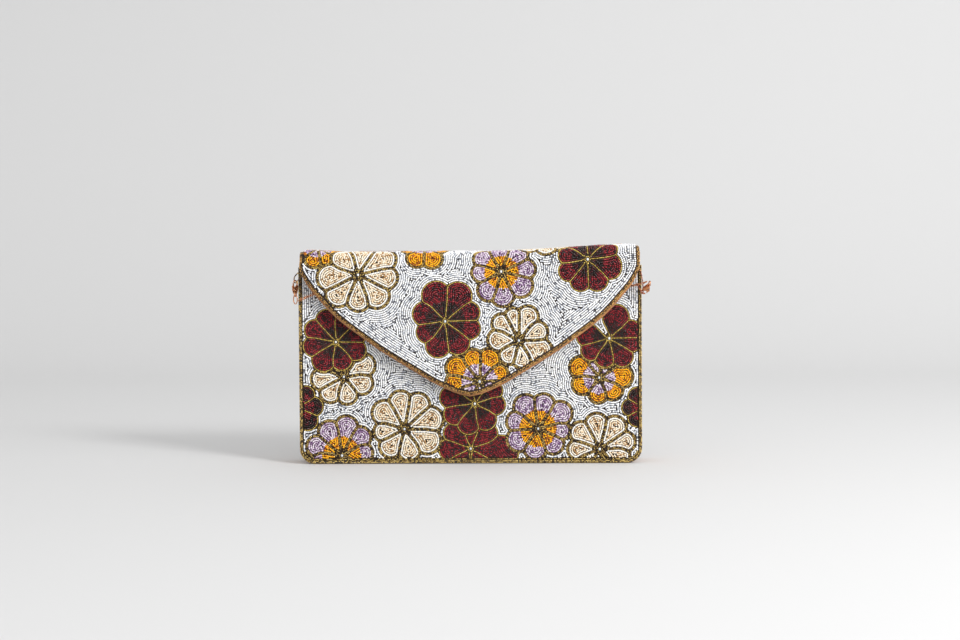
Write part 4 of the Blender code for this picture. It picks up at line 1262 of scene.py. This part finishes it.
# ---------------------------------------------------------------- cloth and linings

COLUMNS = 97
LIP = 1.0


def ripple(u, v, seed, size=30.0):
    """A soft random height over a sheet, from about -1 to 1."""
    chosen = np.random.default_rng(seed)
    total = np.zeros(np.broadcast(u, v).shape)
    for _ in range(7):
        direction, start = chosen.uniform(0, 2 * pi, 2)
        wave = size * chosen.uniform(0.3, 1.3)
        total += np.sin((u * cos(direction) + v * sin(direction)) * 2 * pi / wave + start) * wave / size
    return total / 3.2


def sheet_mesh(name, outer, inner, look, attach, nodes=()):
    """A thin closed sheet between two grids of points."""
    rows, columns = outer.shape[:2]
    index = np.arange(rows * columns).reshape(rows, columns)
    under = index + rows * columns
    top = np.stack([index[:-1, :-1], index[:-1, 1:], index[1:, 1:], index[1:, :-1]], axis=-1)
    bottom = np.stack([under[:-1, :-1], under[1:, :-1], under[1:, 1:], under[:-1, 1:]], axis=-1)
    faces = [top.reshape(-1, 4), bottom.reshape(-1, 4)]
    for edge, below in ((index[0], under[0]), (index[-1, ::-1], under[-1, ::-1]),
                        (index[::-1, 0], under[::-1, 0]), (index[:, -1], under[:, -1])):
        faces.append(np.stack([edge[1:], edge[:-1], below[:-1], below[1:]], axis=-1))
    made = mesh_from(name, np.concatenate([outer.reshape(-1, 3), inner.reshape(-1, 3)]), faces, True,
                     [look])
    attach(made)
    if nodes:
        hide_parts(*nodes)
    return made


def panel(name, surface, v, half_width, depth, thickness, slot, attach, nodes=(), seed=1, amount=0.0,
          shape=None,
          centre=0.0):
    """A sheet that follows a wall at a depth, with soft waves. half_width is a function of v."""
    v = np.asarray(v, float)
    share = np.sin(np.linspace(-1, 1, COLUMNS) * pi / 2)
    u = centre + share[None] * half_width(v)[:, None]
    v = np.repeat(v[:, None], COLUMNS, axis=1)
    level = depth + amount * ripple(u, v, seed)
    if shape is not None:
        level = level + shape(u, v)
    outer, _ = on_surface(surface, u, v, level)
    inner, _ = on_surface(surface, u, v, level + thickness)
    return sheet_mesh(name, outer, inner, LOOKS[slot], attach, nodes)


def wall_width(inset, radius=BOTTOM_CORNER - EDGE_INSET):
    """Half width of a wall's layer at a height."""
    foot = rounded_foot(WIDTH / 2 - inset, EDGE_INSET, radius)
    return lambda z: np.interp(z, foot[:, 1], foot[:, 0])


def strip_width(inset):
    """Half width of a layer of the flap, the fold and the back, along the strip."""
    edge = flap_right_edge(inset)[::-1]
    edge = edge[edge[:, 1] < FLAP_TOP - 0.5]
    foot = rounded_foot(WIDTH / 2 - max(inset, 2.0), 0.0, BOTTOM_CORNER - EDGE_INSET)[::-1]
    at = np.concatenate([edge[:, 1], [FLAP_TOP, SPINE_END, BACK_TOP], BACK_BOTTOM - foot[:, 1]])
    wide = np.concatenate([edge[:, 0],
                           [FLAP_HALF_WIDTH - inset, FLAP_HALF_WIDTH - max(inset, 0.6), foot[0, 0]],
                           foot[:, 0]])
    return lambda v: np.maximum(np.interp(v, at, wide), 0.3)


def strip_zones(inset):
    """A layer of the strip in five parts: name, places along it, and what carries them."""
    tip = flap_right_edge(inset)[-1, 1]
    return (("flap", np.concatenate([np.linspace(tip, tip + 6, 12),
                                     np.linspace(tip + 6, FLAP_TOP, 64)[1:]]),
             ride_on("flap")),
            ("fold_front", np.linspace(FLAP_TOP, SPINE_START, 14), bend_front()),
            ("spine", np.linspace(SPINE_START, SPINE_END, 12), ride_on("flap_spine")),
            ("fold_back", np.linspace(SPINE_END, BACK_TOP, 14), bend_back()),
            ("back", np.concatenate([np.linspace(BACK_TOP, BACK_BOTTOM - 9, 60),
                                     np.linspace(BACK_BOTTOM - 9, BACK_BOTTOM, 10)[1:]]), ride_on("bag")))


def lining_width(v):
    """The lining shows as a lip along the flap's slanting edges, and stays inside its upright ends."""
    upright = smoothstep((v - 130.0) / 14.0) * smoothstep((BACK_TOP - v) / QUARTER)
    return strip_width(-LIP)(v) - (LIP + 0.3) * upright


def tuck_to_edge(u, v):
    """How the lining rises to the piping along the flap's edge and the fold's ends."""
    near = lining_width(v) - np.abs(u)
    slope = np.interp(v, (51, 56, 100, 130, 146, 152), (0.4, 0.45, 0.65, 0.75, 0.9, 1.0))
    fade = smoothstep((BACK_TOP - v) / QUARTER)
    return -1.15 * smoothstep(1 - (near * slope - 1.0) / 3.4) * fade


def build_cloth():
    front_heights = np.concatenate([np.linspace(EDGE_INSET, 14, 12), np.linspace(14, MOUTH_HEIGHT, 56)[1:]])
    panel("front_backing", front_surface, front_heights, wall_width(2.4), BACKING_DEPTH, CLOTH_THICKNESS,
          "backing_cloth", ride_on("bag"),
          ["front_cloth"], 3, 0.04)
    panel("front_inside", front_surface, front_heights + 0.3, wall_width(3.0), FRONT_LINING_DEPTH,
          CLOTH_THICKNESS, "tan_satin", ride_on("bag"),
          ["front_lining"], 4, 0.16)
    replaced = ("flap", "spine", "back")
    for zone, v, attach in strip_zones(2.2):
        nodes = [f"{zone}_cloth"] if zone in replaced else []
        panel(f"{zone}_backing", wrap_surface, v, strip_width(2.2), BACKING_DEPTH, CLOTH_THICKNESS,
              "backing_cloth", attach, nodes, 3, 0.04)
    for zone, v, attach in strip_zones(-LIP):
        nodes = [f"{zone}_lining"] if zone in replaced else []
        panel(f"{zone}_inside", wrap_surface, v, lining_width, LINING_DEPTH, CLOTH_THICKNESS, "tan_satin",
              attach, nodes, 5, 0.16,
              tuck_to_edge)


def stitches(name, line, normals, attach, pitch=2.9):
    """Machine stitches along a line, standing a little off the cloth."""
    places, ahead = resample(np.hstack([line, normals]), pitch)
    places, face = places[:, :3], unit(places[:, 3:])
    count = len(places)
    sizes = np.tile([pitch * 0.36, 0.2, 0.15], (count, 1))
    piece = bead_object(name, places, ahead[:, :3], face, sizes, np.zeros(count, int), [SEAM_THREAD])
    attach(piece)
    return piece


def build_seams():
    """Stitching on the flap's lining, along its edge."""
    edge = flap_right_edge(5.0)
    edge = edge[edge[:, 1] <= FLAP_TOP - 2]
    whole = np.vstack([edge, edge[-2::-1] * (-1, 1)])
    u, v = whole[:, 0], whole[:, 1]
    depth = 5.1 + 0.16 * ripple(u, v, 5) + tuck_to_edge(u, v) + 0.46
    points, normals = on_surface(wrap_surface, u, v, depth)
    stitches("flap_lining_stitches", points, -normals, ride_on("flap"))


# ---------------------------------------------------------------- sides and bottom

GUSSET_HALF_WIDTH = 126.0
GUSSET_FOLD = 9.0
GUSSET_FOLD_START = 20.0


def gusset_sheet(name, edge_depth, side_inset, bottom_inset, thickness, seed, nodes):
    """The strip round the sides and the bottom, with its soft fold inwards and its creases."""
    foot = rounded_foot(GUSSET_HALF_WIDTH, 0.0, BOTTOM_CORNER, 14)
    right = np.vstack([np.stack([np.linspace(0, foot[0, 0], 40), np.zeros(40)], axis=1), foot[1:],
                       np.stack([np.full(70, GUSSET_HALF_WIDTH),
                                 np.linspace(BOTTOM_CORNER, MOUTH_HEIGHT, 71)[1:]],
                                axis=1)])
    line = np.vstack([right[:0:-1] * (-1, 1), right])
    ahead = unit(np.gradient(line, axis=0))
    inward = np.stack([-ahead[:, 1], ahead[:, 0]], axis=1)
    x, z = line[:, 0], line[:, 1]
    inset = side_inset + (bottom_inset - side_inset) * np.maximum(inward[:, 1], 0)
    share = np.linspace(-1, 1, 41)
    half = half_depth(z) - edge_depth
    y = CENTRE_Y + half[:, None] * share[None]
    folded = np.abs(y - CENTRE_Y) / (half_depth(z) - WALL - 1.0)[:, None]
    profile = 0.5 * (1 + np.cos(pi * np.clip(folded, 0, 1)))
    deep = GUSSET_FOLD * np.clip((z - GUSSET_FOLD_START) / (MOUTH_HEIGHT - GUSSET_FOLD_START), 0, 1)
    free = np.clip(1.15 - np.abs(share), 0, 1) * smoothstep((z - 8) / 20)[:, None]
    waves = 0.28 * ripple(y * 0.6, z[:, None] + 0 * y, seed, 14)
    wrinkles = 0.16 * ripple(y, z[:, None] * 1.6, seed + 1, 6)
    crease = free * (waves + wrinkles)
    into = inset[:, None] + deep[:, None] * profile + crease

    def grid(reach):
        return np.stack([x[:, None] + inward[:, :1] * reach, y, z[:, None] + inward[:, 1:] * reach],
                        axis=-1)

    return sheet_mesh(name, grid(into), grid(into + thickness), LOOKS["side_satin"],
                      ride_on("bag"), nodes)


def build_sides():
    gusset_sheet("side_and_bottom", 2.3, 0.1, 0.1, 0.6, 21, ["gusset"])
    gusset_sheet("side_and_bottom_inside", 5.5, 1.2, 2.4, 0.4, 31, ["gusset_lining"])


# ---------------------------------------------------------------- pocket

POCKET_SIZE = (112.0, 70.0)
POCKET_CENTRE = (24.0, 96.0)


def build_pocket():
    """A slip pocket on the back's lining: it gapes a little along its turned-over top edge."""
    x, z = POCKET_CENTRE
    wide, high = POCKET_SIZE
    low, top = BACK_TOP + MEET - (z - high / 2), BACK_TOP + MEET - (z + high / 2)

    def gape(u, v):
        up = (low - v) / high
        middle = np.clip(1 - ((u - x) / (wide / 2)) ** 2, 0, 1)
        turned = 0.35 * smoothstep((up - 0.9) / 0.02)
        return 0.9 * middle ** 0.6 * up ** 2.2 + turned

    v = np.concatenate([np.linspace(top, top + 8, 16), np.linspace(top + 8, low, 40)[1:]])
    panel("slip_pocket_cloth", wrap_surface, v, lambda v: np.full_like(v, wide / 2), POCKET_DEPTH,
          POCKET_THICKNESS, "tan_satin",
          ride_on("bag"), ["slip_pocket"], 9, 0.1, gape, x)
    sides = [(-1, top + 1), (-1, low - 1.5), (1, low - 1.5), (1, top + 1)]
    corners = np.array([(x + side * (wide / 2 - 1.6), at) for side, at in sides])
    line = resample(corners, 2.0)[0]
    for name, flat in (("pocket_stitches", line),
                       ("pocket_hem_stitches",
                        np.stack([np.linspace(x - wide / 2 + 2, x + wide / 2 - 2, 60),
                                                         np.full(60, top + 6.2)], axis=1))):
        u, at = flat[:, 0], flat[:, 1]
        depth = POCKET_DEPTH + 0.1 * ripple(u, at, 9) + gape(u, at) + 0.42
        points, normals = on_surface(wrap_surface, u, at, depth)
        stitches(name, points, -normals, ride_on("bag"))


build_camera()
build_chain()
build_loops()
build_metal()
build_stage()
build_light()
dress_cad()
build_beadwork()
build_piping()
build_cloth()
build_seams()
build_sides()
build_pocket()
